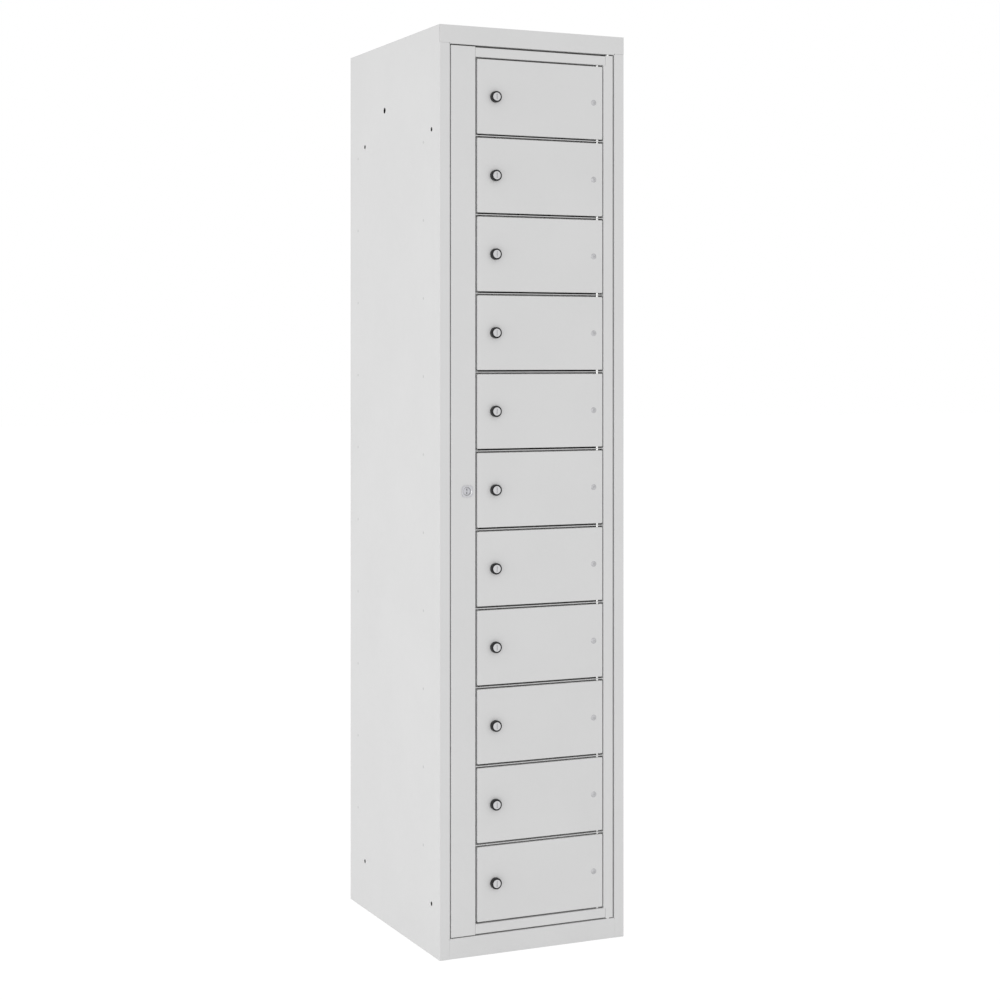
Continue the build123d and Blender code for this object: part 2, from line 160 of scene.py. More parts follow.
def mirrored(mesh):
    """The mesh with x changed to -x, and each face turned round so that it still faces outwards."""
    return mesh[0] * np.array([-1, 1, 1]), [face[:, ::-1] for face in mesh[1]]


def volume(mesh):
    """Each face is cut into triangles from its first corner; the volume is a sixth of the sum of
    their corners' triple products. It is negative if the faces point inwards."""
    points, total = mesh[0], 0.0
    for face in mesh[1]:
        a, b, c = points[face[:, :1]], points[face[:, 1:-1]], points[face[:, 2:]]
        total += np.sum(a * np.cross(b, c)) / 6
    return total


def is_closed(mesh):
    """True if each edge is used once in each direction."""
    start, end = edges_of(mesh[1])
    there = np.sort(start * len(mesh[0]) + end)
    backwards = np.sort(end * len(mesh[0]) + start)
    return bool(np.all(np.diff(there) > 0) and np.array_equal(there, backwards))


# %% [markdown]
# ## From arrays to a piece
#
# Powder coat and plating soften every cut edge a little. A small Bevel does that for all pieces,
# and a Weighted Normal modifier keeps the large flats looking flat right up to their folds.
# Every piece sits at the origin with its place in its mesh, as the engineered parts do.

# %% Make a Blender piece
EDGE = 0.2  # width of the rounding on cut edges
SHARP = 35  # degrees between two faces from which their edge is rounded


def add_object(name, data):
    """Puts a new object with this data into the scene."""
    item = bpy.data.objects.new(name, data)
    bpy.context.collection.objects.link(item)
    return item


def add_piece(name, mesh, material, body, node, slot, edge=EDGE, **values):
    """Writes the arrays and any values for the material into a mesh, adds the edge rounding and
    hangs the piece on its body."""
    points, faces = mesh
    if volume(mesh) < 0 or not is_closed(mesh):
        raise ValueError(f"{name} is open or inside out")
    data = bpy.data.meshes.new(name)
    data.from_pydata((points * MM).tolist(), [], [row for face in faces for row in face.tolist()])
    data.polygons.foreach_set("use_smooth", np.ones(len(data.polygons), bool))
    for label, value in values.items():
        data.attributes.new(label, "FLOAT", "POINT").data.foreach_set("value", value)
    data.materials.append(material)
    piece = add_object(name, data)
    rounding = piece.modifiers.new("edges", "BEVEL")
    rounding.width = edge * MM
    rounding.segments = 2
    rounding.limit_method = "ANGLE"
    rounding.angle_limit = np.radians(SHARP)
    flats = piece.modifiers.new("flats", "WEIGHTED_NORMAL")
    flats.weight = 100
    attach(piece, body)
    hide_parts(node)
    return piece


# %% [markdown]
# ## A line with folds
#
# Seen along its folds, a folded sheet is a line of straight runs and quarter arcs, so the widths
# of its flanges, in order and with signs, are all that has to be written down. The press makes the
# same inside radius everywhere, so the outside of a fold is wider by the thickness of the sheet.
# The line below is the skin that is painted on the outside.

# %% Straight runs and arcs
BEND = 0.4  # inside radius of every fold
ARC_STEPS = 6
LEFT, RIGHT = 1, -1  # the side of the skin on which the metal lies


def fold_line(start, lengths, thickness, metal, first=0):
    """The runs have these signed lengths and follow the two axes in turn, the first (0) or the
    second (1) to begin with. Arc point = centre + r (sin a before - cos a after), where before
    and after are two runs' directions and a goes from 0 to 90 degrees. s is the length along
    the skin."""
    number = np.arange(len(lengths))
    moves = np.zeros((len(lengths) + 1, 2))
    moves[number + 1, (number + first) % 2] = lengths
    corners, runs = start + np.cumsum(moves, axis=0), np.sign(moves[1:])
    angle = np.linspace(0, np.pi / 2, ARC_STEPS + 1)[:, None]
    points, tangents, radii = [corners[:1]], [runs[:1]], [0.0]
    for corner, before, after in zip(corners[1:-1], runs, runs[1:]):
        turn = np.sign(before[0] * after[1] - before[1] * after[0])
        radius = BEND + thickness if turn == metal else BEND
        centre = corner + radius * (after - before)
        points.append(centre + radius * (np.sin(angle) * before - np.cos(angle) * after))
        tangents.append(np.cos(angle) * before + np.sin(angle) * after)
        radii.append(radius)
    points = np.concatenate([*points, corners[-1:]])
    tangents = np.concatenate([*tangents, runs[-1:]])
    s = np.concatenate([[0], np.cumsum(np.linalg.norm(np.diff(points, axis=0), axis=1))])
    inward = metal * np.stack([-tangents[:, 1], tangents[:, 0]], axis=1)
    ends = s[1 + ARC_STEPS :: ARC_STEPS + 1][: len(radii) - 1]
    return SimpleNamespace(
        s=s, points=points, inward=inward, thickness=thickness, metal=metal,
        radii=radii, run_starts=np.concatenate([[0], ends]),
    )


def along(line, run, distance):
    """Length along the skin to a point on a run, given its distance from the run's corner."""
    return line.run_starts[run] + distance - line.radii[run]


# %% [markdown]
# ## Folded sheet with holes
#
# Unfolded, a sheet is a rectangle with two measures: s along the line above, and w across it.
# Grid lines are put only where something happens, at folds, cut-outs and holes, so a plain panel
# needs a few hundred faces and a side with all its welds a few thousand. A Boolean could cut the
# holes, but it leaves slivers; here each hole gets a square of its own, joined to the circle by
# four large faces. A spot weld's shallow dimple is the same patch with its middle pressed in.

# %% Round patches in a grid
ROUND_STEPS = 24
PATCH = 1.5  # half a patch's square, in radii
PRESSED = 0.6  # flat middle of a dimple, in radii
SAME = 1e-3  # grid lines closer than this are one


def grid_lines(*values):
    """The values in order, with repeats left out."""
    lines = np.sort(np.concatenate([np.ravel(value) for value in values]).astype(float))
    return lines[np.concatenate([[True], np.diff(lines) > SAME])]


def squares(spots):
    """Both edges of each spot's square, first along the line and then across it."""
    return [
        [spot[n] + sign * PATCH * spot[2] for spot in spots for sign in (-1, 1)] for n in (0, 1)
    ]


def middles(s_lines, w_lines):
    """The middle of each cell of the grid, as a column along and a row across."""
    return (s_lines[1:, None] + s_lines[:-1, None]) / 2, (w_lines[1:] + w_lines[:-1]) / 2


def outside(spots, s_lines, w_lines):
    """For each cell of the grid, whether it lies outside all squares."""
    s, w = middles(s_lines, w_lines)
    keep = np.ones((len(s), len(w)), bool)
    for s0, w0, radius, _ in spots:
        keep &= (np.abs(s - s0) > PATCH * radius) | (np.abs(w - w0) > PATCH * radius)
    return keep


def round_patch(skin, grid, s_lines, w_lines, place, spot):
    """Ring point = spot + r (cos a, sin a), a from 45 degrees on, so that the four quarters of
    the ring face the four sides of the square. depth None is a hole; a number is a dimple."""
    s0, w0, radius, depth = spot
    a = np.pi / 4 + np.linspace(0, 2 * np.pi, ROUND_STEPS, endpoint=False)
    circle = skin.add(*place(s0 + radius * np.cos(a), w0 + radius * np.sin(a), 0.0))
    reach = PATCH * radius * np.array([-1, 1]) - SAME
    (i0, i1), (j0, j1) = np.searchsorted(s_lines, s0 + reach), np.searchsorted(w_lines, w0 + reach)
    edges = [
        grid[i0 : i1 + 1, j1][::-1],
        grid[i0, j0 : j1 + 1][::-1],
        grid[i0 : i1 + 1, j0],
        grid[i1, j0 : j1 + 1],
    ]
    quarter = ROUND_STEPS // 4
    for n, edge in enumerate(edges):
        arc = circle[np.arange(quarter * (n + 1), quarter * n - 1, -1) % ROUND_STEPS]
        skin.faces.append(np.concatenate([edge, arc])[None, :])
    if depth is not None:
        pressed = PRESSED * radius
        floor = skin.add(*place(s0 + pressed * np.cos(a), w0 + pressed * np.sin(a), depth))
        ring = np.stack([circle, floor], axis=1)
        skin.cells(np.concatenate([ring, ring[:1]]))
        skin.faces.append(floor[None, :])


# %% Folded sheets
def folded_sheet(line, span, axis, notches=(), holes=(), marks=()):
    """Point(s, w, depth) = line(s) + depth times the way in, carried along the axis by w. A
    notch (s0, s1, w0, w1) is cut away. Holes are (s, w, radius), marks (s, w, radius, depth)."""
    spots = [(*hole, None) for hole in holes] + list(marks)
    spot_s, spot_w = squares(spots)
    ends = [line.s[0], line.s[-1]]
    cut_s = np.clip([edge for notch in notches for edge in notch[:2]], *ends)
    cut_w = np.clip([edge for notch in notches for edge in notch[2:]], *span)
    s_lines, w_lines = grid_lines(line.s, cut_s, spot_s), grid_lines(span, cut_w, spot_w)

    def place(s, w, depth):
        first, second, in_first, in_second = (
            np.interp(s, line.s, column) for column in (*line.points.T, *line.inward.T)
        )
        inward = points_along(axis, in_first, in_second, 0.0)
        return points_along(axis, first, second, w) + depth * inward, inward

    skin = Skin()
    grid = skin.add(*place(s_lines[:, None], w_lines[None, :], 0.0))
    keep = outside(spots, s_lines, w_lines)
    s, w = middles(s_lines, w_lines)
    for s0, s1, w0, w1 in notches:
        keep &= (s < s0) | (s > s1) | (w < w0) | (w > w1)
    skin.cells(grid, keep)
    for spot in spots:
        round_patch(skin, grid, s_lines, w_lines, place, spot)
    return skin.shell(line.thickness, flip=line.metal == RIGHT)


def plate(x, y, z):
    """A flat strip of sheet between limits. Corner number = 4 (x high) + 2 (y high) + (z high)."""
    corners = np.array([(a, b, c) for a in x for b in y for c in z])
    sides = [(0, 1, 3, 2), (4, 6, 7, 5), (0, 4, 5, 1), (2, 3, 7, 6), (0, 2, 6, 4), (1, 5, 7, 3)]
    return corners, [np.array(sides)]


# %% [markdown]
# ## Turned parts
#
# Lock barrels, plugs, nuts, cams and pins are rings stacked along an axis. Each ring has a
# radius for every angle, so a ring can be a circle, a hexagon, a circle with two flats or a key
# slot, and one function makes them all. The length along the profile is kept as an attribute,
# which lets the chrome carry the fine circles that a lathe leaves.

# %% Rings around an axis
TURN_STEPS = 72
EDGE_RINGS, CURVE_RINGS = 5, 7  # rings on a rounded edge, and on a larger curve
ANGLES = np.linspace(0, 2 * np.pi, TURN_STEPS, endpoint=False)


def turned(rings, angles=ANGLES, axis="Y", hollow=False):
    """Point(ring, a) = radius(ring, a) times (cos a, sin a), at the ring's distance along the
    axis. The first and last ring are closed by flat faces, or joined to each other if the part
    is hollow. Gives the mesh and the length along the profile at each point."""
    radii = np.array([np.broadcast_to(radius, angles.shape) for radius, _ in rings])
    along_axis = np.array([distance for _, distance in rings], float)
    points = points_along(axis, radii * np.cos(angles), radii * np.sin(angles), along_axis[:, None])
    steps = np.hypot(np.diff(radii.mean(axis=1)), np.diff(along_axis))
    profile = np.repeat(np.concatenate([[0], np.cumsum(steps)]), len(angles))
    numbers = np.arange(radii.size).reshape(radii.shape)
    grid = np.concatenate([numbers, numbers[:, :1]], axis=1)
    grid = np.concatenate([grid, grid[:1]]) if hollow else grid
    faces = [quads(grid).reshape(-1, 4)]
    if not hollow:
        faces += [numbers[:1], numbers[-1:, ::-1]]
    mesh = (points.reshape(-1, 3), faces)
    if volume(mesh) < 0:
        mesh = (mesh[0], [face[:, ::-1] for face in faces])
    return mesh, profile


def rounded_edge(outline, start, radius, first=0.0):
    """Rings round a part's edge: outline(r (1 - sin b)) at start + r (1 - cos b), from b = first
    to 90 degrees."""
    turn = np.linspace(first, np.pi / 2, EDGE_RINGS)
    return [(outline(radius * (1 - np.sin(b))), start + radius * (1 - np.cos(b))) for b in turn]


def round_part(radius):
    """The outline of a round part, as a function of how far it is drawn in."""
    return lambda inset: radius - inset


def hexagon_radius(across_flats):
    """Distance to a hexagon's edge: half its width over flats / cos(angle from a flat)."""
    sector = np.pi / 3
    off = np.mod(ANGLES + sector / 2, sector) - sector / 2
    return across_flats / 2 / np.cos(off)


def box_radius(half_width, half_height, angles):
    """Distance to a rectangle's edge: the nearer of its two pairs of sides along the ray."""
    return np.minimum(
        half_width / np.maximum(np.abs(np.cos(angles)), 1e-9),
        half_height / np.maximum(np.abs(np.sin(angles)), 1e-9),
    )


print("sheet and turning tools ready")

# %% [markdown]
# ## Powder coat
#
# Powder coat is a baked plastic skin: satin, a little uneven like orange peel, never quite one
# colour. The peel is a fine bump. A second, much wider bump gives the slow waves that thin sheet
# always has, and a soft noise shifts the grey by about one part in a hundred. The patterns read
# Object coordinates, so they run on across all the sheets as the spray did.

# %% Node helpers
def add_node(tree, kind, output, inputs=None, **options):
    """Adds a shader node, sets its options, links or sets its inputs and gives one output."""
    node = tree.nodes.new("ShaderNode" + kind)
    for option, value in options.items():
        setattr(node, option, value)
    for name, value in (inputs or {}).items():
        if isinstance(value, bpy.types.NodeSocket):
            tree.links.new(value, node.inputs[name])
        else:
            node.inputs[name].default_value = value
    return node.outputs[output]


# %% A material and its one shader
class Finish:
    """A material with one shader, whose constant values are set on the shader itself."""

    def __init__(self, name, colour, **settings):
        self.material = bpy.data.materials.new(name)
        self.material.use_nodes = True
        self.material.diffuse_color = (*colour, 1)
        self.tree = self.material.node_tree
        self.shader = self.tree.nodes["Principled BSDF"]
        self.shader.inputs["Base Color"].default_value = (*colour, 1)
        for socket, value in settings.items():
            self.shader.inputs[socket.replace("_", " ").title()].default_value = value
        self.place = self.add("TexCoord", "Object")

    def add(self, kind, output, inputs=None, **options):
        return add_node(self.tree, kind, output, inputs, **options)

    def noise(self, scale, detail=2.0, place=None, stretch=(1, 1, 1)):
        """A noise value around 0.5, with about `scale` waves to the metre."""
        stretched = {"Vector": place or self.place, "Scale": stretch}
        vector = self.add("Mapping", "Vector", stretched)
        return self.add("TexNoise", "Fac", {"Vector": vector, "Scale": scale, "Detail": detail})

    def between(self, value, low, high):
        """The middle of the noise's range, 0.3 to 0.7, stretched to run from low to high."""
        inputs = {"Value": value, "From Min": 0.3, "From Max": 0.7, "To Min": low, "To Max": high}
        return self.add("MapRange", "Result", inputs)

    def shade(self, colour, value):
        """The colour made lighter or darker by the factor that a value gives."""
        return self.add("HueSaturation", "Color", {"Color": (*colour, 1), "Value": value})

    def relief(self, height, depth, below=None):
        """A bump of this depth in millimetres, on top of another one."""
        inputs = {"Height": height, "Distance": depth * MM}
        if below is not None:
            inputs["Normal"] = below
        return self.add("Bump", "Normal", inputs)

    def use(self, socket, output):
        self.tree.links.new(output, self.shader.inputs[socket])


# %% Paint for the cabinet, the frame door and the small doors
PAINT = (0.66, 0.66, 0.66)
# painted shade over the spot welds: the coat's colour factor there, darker than the shallow dimples
# shade themselves
WELD_SHADE = 0.80  # of the coat over a spot weld


def powder_coat(name):
    """Satin grey coat: slow shade changes, painted shade over the welds, orange peel and the
    sheet's own waves.
    """
    finish = Finish(name, PAINT, roughness=0.46)
    cloudy = finish.between(finish.noise(7.0, detail=3.0), 0.988, 1.012)
    # painted shade: the weld attribute darkens the coat over each shelf weld, in place of the
    # dimple's own shade
    pressed = finish.add("Attribute", "Fac", attribute_name="weld")
    darkening = {"Value": pressed, "To Min": 1.0, "To Max": WELD_SHADE}
    weld_painted_shade = finish.add("MapRange", "Result", darkening)
    value = finish.add("Math", "Value", {0: cloudy, 1: weld_painted_shade}, operation="MULTIPLY")
    finish.use("Base Color", finish.shade(PAINT, value))
    finish.use("Roughness", finish.between(finish.noise(60.0), 0.42, 0.50))
    waves = finish.relief(finish.noise(4.0, detail=1.0), 0.6)
    peel = finish.relief(finish.noise(420.0, detail=3.0), 0.02, waves)
    finish.use("Normal", peel)
    return finish.material


body_paint, frame_paint, door_paint = [
    powder_coat(f"{part}_powder_coat") for part in ("cabinet", "frame", "door")
]

# %% [markdown]
# ## Metals of the locks
#
# The bezels are die-cast zinc with a black coat, the plugs in them are chromed and the frame
# door's lock is satin nickel. Cams and nuts are zinc plated steel, which is dull and blotchy, and
# rivets and the shutters behind the key slots are duller still. The hinge pins are bright drawn
# steel. Turned parts still show fine circles: they follow the profile attribute, which is the
# length along the turned profile.

# %% Black coat, chrome, nickel, zinc and steel
LATHE_MARKS = 3.0  # to the millimetre along the profile
MARK_DEPTH = 0.004


def turned_metal(name, colour, roughness):
    """Metal whose roughness and relief vary from circle to circle round the part's axis."""
    finish = Finish(name, colour, metallic=1.0, roughness=roughness)
    profile = finish.add("Attribute", "Fac", attribute_name="profile")
    line = finish.add("CombineXYZ", "Vector", {"X": profile})
    rings = finish.noise(LATHE_MARKS, detail=3.0, place=line)
    finish.use("Roughness", finish.between(rings, 0.8 * roughness, 1.3 * roughness))
    finish.use("Normal", finish.relief(rings, MARK_DEPTH))
    return finish.material


def black_coat():
    """Black coat on a casting: pebbled very finely, a little duller here and there."""
    black = (0.011, 0.011, 0.012)
    finish = Finish("black_lock_coat", black, roughness=0.34)
    finish.shader.inputs["Specular IOR Level"].default_value = 0.25
    finish.use("Base Color", finish.shade(black, finish.between(finish.noise(300.0), 0.85, 1.2)))
    finish.use("Roughness", finish.between(finish.noise(160.0), 0.28, 0.42))
    finish.use("Normal", finish.relief(finish.noise(1500.0), 0.008))
    return finish.material


def dull_metal(name, grey, roughness):
    """Metal with blotches a few millimetres across and short rolling marks along x."""
    finish = Finish(name, grey, metallic=1.0, roughness=roughness)
    blotches = finish.noise(180.0, detail=4.0)
    finish.use("Base Color", finish.shade(grey, finish.between(blotches, 0.86, 1.1)))
    streaks = finish.noise(900.0, stretch=(0.05, 1, 1))
    finish.use("Roughness", finish.between(streaks, 0.85 * roughness, 1.2 * roughness))
    finish.use("Normal", finish.relief(streaks, MARK_DEPTH))
    return finish.material


black = black_coat()
chrome = turned_metal("lathe_turned_chrome", (0.60, 0.60, 0.61), 0.20)
nickel = turned_metal("satin_nickel", (0.53, 0.53, 0.555), 0.33)
zinc = dull_metal("zinc_plate", (0.60, 0.61, 0.62), 0.38)
dull_steel = dull_metal("dull_steel", (0.50, 0.50, 0.51), 0.50)
bright_steel = turned_metal("bright_drawn_steel", (0.84, 0.84, 0.83), 0.18)
print("finishes:", ", ".join(material.name for material in bpy.data.materials))

# %% [markdown]
# ## Side panels
#
# Each side is one long sheet. At the front it turns in to make the jamb beside the frame door,
# back again, and in once more as a lip for the door's lock to catch behind; at the rear it turns
# in over the back panel. Four holes take the bolts between lockers that stand in a row, and one
# larger hole near the top takes a lead. Two columns of spot welds hold the shelves.

# %% Sizes of the cabinet's sheets
BODY_SHEET = 0.8
jamb_width, jamb_depth, stop_lip = 21.6, 22.0, 9.0
edge_flange = 18.0
plinth_height, apron_height = 39.6, 36.4
seam = 0.2  # hairline left between two sheets that butt against each other
jamb_reach = 1.9  # how far a jamb stands up in front of the apron's lower fold
plinth_reach = 1.2  # how far the plinth's face runs on over a jamb's fold
clear, loose = 1.0, 2.0  # room where two sheets pass, and round a sheet that slips into place
opening = side - jamb_width  # half the width between the jambs
inner_side = side - BODY_SHEET
apron_bottom = height - apron_height

door_boxes = [box_mm(f"compartment_door_{n:02d}") for n in range(1, 12)]
door_heights = [(low[Z] + high[Z]) / 2 for low, high in door_boxes]
row_pitch = door_heights[0] - door_heights[1]
shelf_tops = [z - row_pitch / 2 + BODY_SHEET / 2 for z in door_heights[:-1]]
print(f"{len(door_heights)} doors, {row_pitch:.1f} mm apart")

# %% Holes and welds in a side
joining_depths, joining_heights, joining_radius = (41.4, 403.0), (100.0, 1601.5), 4.25
cable_depth, cable_height, cable_radius = 290.3, 1665.6, 6.0
weld_depths, weld_radius, weld_depth = (82.4, 443.6), 3.6, 0.25
shelf_weld_drop = 9.4  # below the shelf's top
shelf_welds = [(depth, top - shelf_weld_drop) for depth in weld_depths for top in shelf_tops]
rear_weld_pitch = 150.0
print(len(joining_depths) * len(joining_heights), "bolt holes,", len(shelf_welds), "shelf welds")


# %% Both sides
def side_panel():
    """The left side with its flanges at the floor and under the top."""
    runs = -stop_lip, -jamb_depth, -jamb_width, back - front, edge_flange
    line = fold_line((-opening + stop_lip, front + jamb_depth), runs, BODY_SHEET, RIGHT)
    lip_end, jamb_end = line.run_starts[1], along(line, 3, BODY_SHEET + clear)
    face_start = along(line, 2, plinth_reach)
    notches = [
        (0, lip_end, 0, plinth_height + clear),
        (0, face_start, 0, plinth_height - plinth_reach),
        (0, lip_end, apron_bottom - clear, under_top),
        (0, face_start, apron_bottom - seam, under_top),
        (0, jamb_end, apron_bottom + jamb_reach - seam, under_top),
    ]
    joining = [(along(line, 3, y), z) for y in joining_depths for z in joining_heights]
    holes = [(*spot, joining_radius) for spot in joining]
    holes.append((along(line, 3, cable_depth), cable_height, cable_radius))
    rear_welds = np.arange(rear_weld_pitch / 2, under_top, rear_weld_pitch)
    spots = [(along(line, 3, y), z) for y, z in shelf_welds]
    spots += [(along(line, 4, edge_flange / 2), z) for z in rear_welds]
    marks = [(*spot, weld_radius, weld_depth) for spot in spots]
    panel = folded_sheet(line, (0, under_top), "Z", notches, holes, marks)
    flange_x, flange_y = (-inner_side, -side + edge_flange), (front + loose, back - loose - clear)
    floor_flange = plate(flange_x, flange_y, (0, BODY_SHEET))
    return joined(panel, floor_flange, moved(floor_flange, z=under_top - BODY_SHEET))


def weld_shade_mask(points):
    """Where the coat gets painted shade: 1 on the pressed middle of a shelf's spot weld, falling to
    0 at its rim.
    """
    away = points[:, None, [Y, Z]] - np.array(shelf_welds) - [front, 0]
    nearest = np.linalg.norm(away, axis=2).min(axis=1)
    return np.clip((weld_radius - nearest) / ((1 - PRESSED) * weld_radius), 0, 1)


left = side_panel()
for hand, panel in (("left", left), ("right", mirrored(left))):
    node = f"{hand}_side_panel"
    # painted shade over the shelf welds, passed to the coat as the weld attribute
    marks = weld_shade_mask(panel[0])
    add_piece(f"{hand}_side_sheet", panel, body_paint, "carcass", node, "body_paint", weld=marks)
print("a side has", sum(len(group) for group in left[1]), "faces")

# %% [markdown]
# ## Top, plinth and back
#
# The top folds down as the front apron, turns back as a ledge over the frame door and ends in a
# lip that the door closes against. The base sheet runs forward on the ground, comes up as the
# plinth, goes back as a ledge and rises to the floor of the lowest compartment. The back panel
# lies behind the floors, and the sides' rear flanges reach over its edges.

# %% Top with its apron
apron_lip = 15.0


def both_ends(start, end, inner, outer):
    """The same notch at both ends of a sheet that lies evenly about the cabinet's middle."""
    return [(start, end, -outer, -inner), (start, end, inner, outer)]


def top_panel():
    """Lip, ledge, apron and top in one sheet, seen from the side and carried along x."""
    start = front + jamb_depth, apron_bottom - apron_lip
    runs = apron_lip, -jamb_depth, apron_height, back - front
    line = fold_line(start, runs, BODY_SHEET, RIGHT, first=1)
    notches = both_ends(0, line.run_starts[1], opening - stop_lip - clear, side)
    notches += both_ends(0, line.run_starts[2], inner_side, side)
    behind_jamb, over_jamb = along(line, 1, jamb_depth - loose), along(line, 2, jamb_reach)
    notches += both_ends(behind_jamb, over_jamb, opening, side)
    return folded_sheet(line, (-side, side), "X", notches)


top = top_panel()
add_piece("top_sheet", top, body_paint, "carcass", "top_panel", "body_paint")
print("the top has", sum(len(group) for group in top[1]), "faces")

# %% Plinth and lowest floor
riser_depth = 23.0
floor_top = door_heights[-1] - row_pitch / 2
rear_face = back - 2 * BODY_SHEET  # front of the back panel
flange_height = 20.0


def side_flange(y, top):
    """The flange under the left edge of a floor or shelf, which is welded to the side."""
    x = (-inner_side, -inner_side + BODY_SHEET)
    return plate(x, y, (top - flange_height, top - BODY_SHEET))


def bottom_panel():
    """Base, plinth, ledge, riser, floor and rear flange in one sheet between the jambs, with a
    wing to each side behind them."""
    riser, base_end = front + riser_depth, rear_face - clear
    runs = [front - base_end, plinth_height, riser_depth]
    runs += [floor_top - plinth_height, rear_face - riser, -edge_flange]
    line = fold_line((base_end, 0), runs, BODY_SHEET, RIGHT)
    half = opening - seam
    face_half = opening + plinth_reach - 0.4 * seam  # just short of the cut in the jambs
    notches = both_ends(0, along(line, 1, seam / 2), half, face_half)
    notches += both_ends(along(line, 2, -plinth_reach), line.s[-1], half, face_half)
    sheet = folded_sheet(line, (-face_half, face_half), "X", notches)
    wing_y = (riser + loose, rear_face - loose)
    wing = plate((-inner_side, -opening), wing_y, (floor_top - BODY_SHEET, floor_top))
    flange = side_flange(wing_y, floor_top)
    return joined(sheet, wing, flange, mirrored(wing), mirrored(flange))


add_piece("plinth_sheet", bottom_panel(), body_paint, "carcass", "bottom_panel", "body_paint")
print(f"the lowest floor is {floor_top:.1f} mm above the ground")

# %% Back
back_fold = 16.0


def back_panel():
    """A flat sheet with its top edge folded forward."""
    outer = back - BODY_SHEET
    line = fold_line((outer, clear), (under_top - clear, -back_fold), BODY_SHEET, LEFT, first=1)
    half, fold_half = side - loose, side - edge_flange - clear
    notches = both_ends(along(line, 1, -clear), line.s[-1], fold_half, half)
    return folded_sheet(line, (-half, half), "X", notches)


add_piece("back_sheet", back_panel(), body_paint, "carcass", "back_panel", "body_paint")

# %% [markdown]
# ## Shelves
#
# Ten trays turned upside down. Their front and rear lips are folded from the tray, and the side
# flanges that are spot welded to the sides lie between them.

# %% Shelves
shelf_front, shelf_lip = 26.0, 15.0


def shelf():
    """One tray with its top at height 0."""
    near = front + shelf_front
    runs = shelf_lip, rear_face - near, -shelf_lip
    line = fold_line((near, -shelf_lip), runs, BODY_SHEET, RIGHT, first=1)
    tray = folded_sheet(line, (-inner_side, inner_side), "X")
    flange = side_flange((near + loose, rear_face - loose), 0)
    return joined(tray, flange, mirrored(flange))


one_shelf = shelf()
shelves = joined(*[moved(one_shelf, z=z) for z in shelf_tops])
add_piece("shelf_trays", shelves, body_paint, "carcass", "shelves", "body_paint")
print(len(shelf_tops), "shelves")

# %% [markdown]
# ## The frame door
#
# Two upright stiles and two rails, folded from thicker sheet, with ten crossbars between the
# rows. The wide stile carries the big door's own lock, and its inner flange is what the small
# doors close against and their cams catch behind. A crossbar is an angle; only its front edge
# shows between two doors.

# %% Sizes of the frame door
FRAME_SHEET = 1.2
lock_gap, hinge_gap = 2.1, 2.7  # between the frame door and the jambs
lock_face, hinge_face = 51.7, 21.3  # widths of the stiles beside the doors
lock_reach, hinge_reach = 0.6, 4.5  # how far the rails run on over those faces
frame_bottom, frame_top = (corner[Z] for corner in box_mm("frame_lock_stile"))
frame_left, frame_right = -opening + lock_gap, opening - hinge_gap
rows_left, rows_right = frame_left + lock_face, frame_right - hinge_face
rails_left, rails_right = rows_left - lock_reach, rows_right + hinge_reach
outer_return, hinge_return, hinge_flange = 18.0, 17.0, 8.0
stop_depth, stop_flange, web_depth = 15.5, 12.0, 19.0
web_back = front + web_depth
lock_low, lock_high = box_mm("frame_lock_plug")
frame_lock_x, frame_lock_z = (lock_low + lock_high)[[X, Z]] / 2
barrel_radius = 9.5
rows_top = door_heights[0] + (row_pitch - FRAME_SHEET) / 2
rows_bottom = door_heights[-1] - (row_pitch - FRAME_SHEET) / 2
rail_spans = (frame_bottom, rows_bottom - seam), (rows_top + seam, frame_top)
print(f"frame door {frame_right - frame_left:.1f} x {frame_top - frame_bottom:.1f} mm")


def add_frame_sheet(part, mesh):
    """Adds a stile or a rail, on the engineered part of that name."""
    add_piece(f"{part}_sheet", mesh, frame_paint, "frame_door", f"frame_{part}", "frame_paint")


# %% Stiles
def lock_stile():
    """Return, face, inner return and stop flange, with the hole for the frame door's lock. Only
    the face stands beside the rails."""
    runs = -outer_return, lock_face, stop_depth, stop_flange
    line = fold_line((frame_left, front + outer_return), runs, FRAME_SHEET, LEFT, first=1)
    notches = [(along(line, 1, rails_left - frame_left), line.s[-1], *span) for span in rail_spans]
    hole = (along(line, 1, frame_lock_x - frame_left), frame_lock_z, barrel_radius)
    return folded_sheet(line, (frame_bottom, frame_top), "Z", notches, [hole])


def hinge_stile():
    """Flange, inner return, face and outer return, with a pivot plate at each end. The face is
    narrower beside the rails."""
    runs = hinge_flange, -web_depth, hinge_face, hinge_return
    line = fold_line((rows_right - hinge_flange, web_back), runs, FRAME_SHEET, LEFT)
    notches = [(0, along(line, 2, rails_right - rows_right), *span) for span in rail_spans]
    stile = folded_sheet(line, (frame_bottom, frame_top), "Z", notches)
    plate_x = (rails_right, frame_right - FRAME_SHEET)
    plate_y = (front + FRAME_SHEET, front + hinge_return)
    plates = [
        plate(plate_x, plate_y, (z, z + FRAME_SHEET))
        for z in (frame_bottom, frame_top - FRAME_SHEET)
    ]
    return joined(stile, *plates)


add_frame_sheet("lock_stile", lock_stile())
add_frame_sheet("hinge_stile", hinge_stile())

# %% Rails and crossbars
rail_bottom, rail_top, rail_return = 42.4, 1759.8, 14.5
crossbar_drop = 13.0
rail_x = rails_left + seam, rails_right - 2 * seam
pin_x, pin_inset, pin_radius = 142.5, 6.0, 2.5


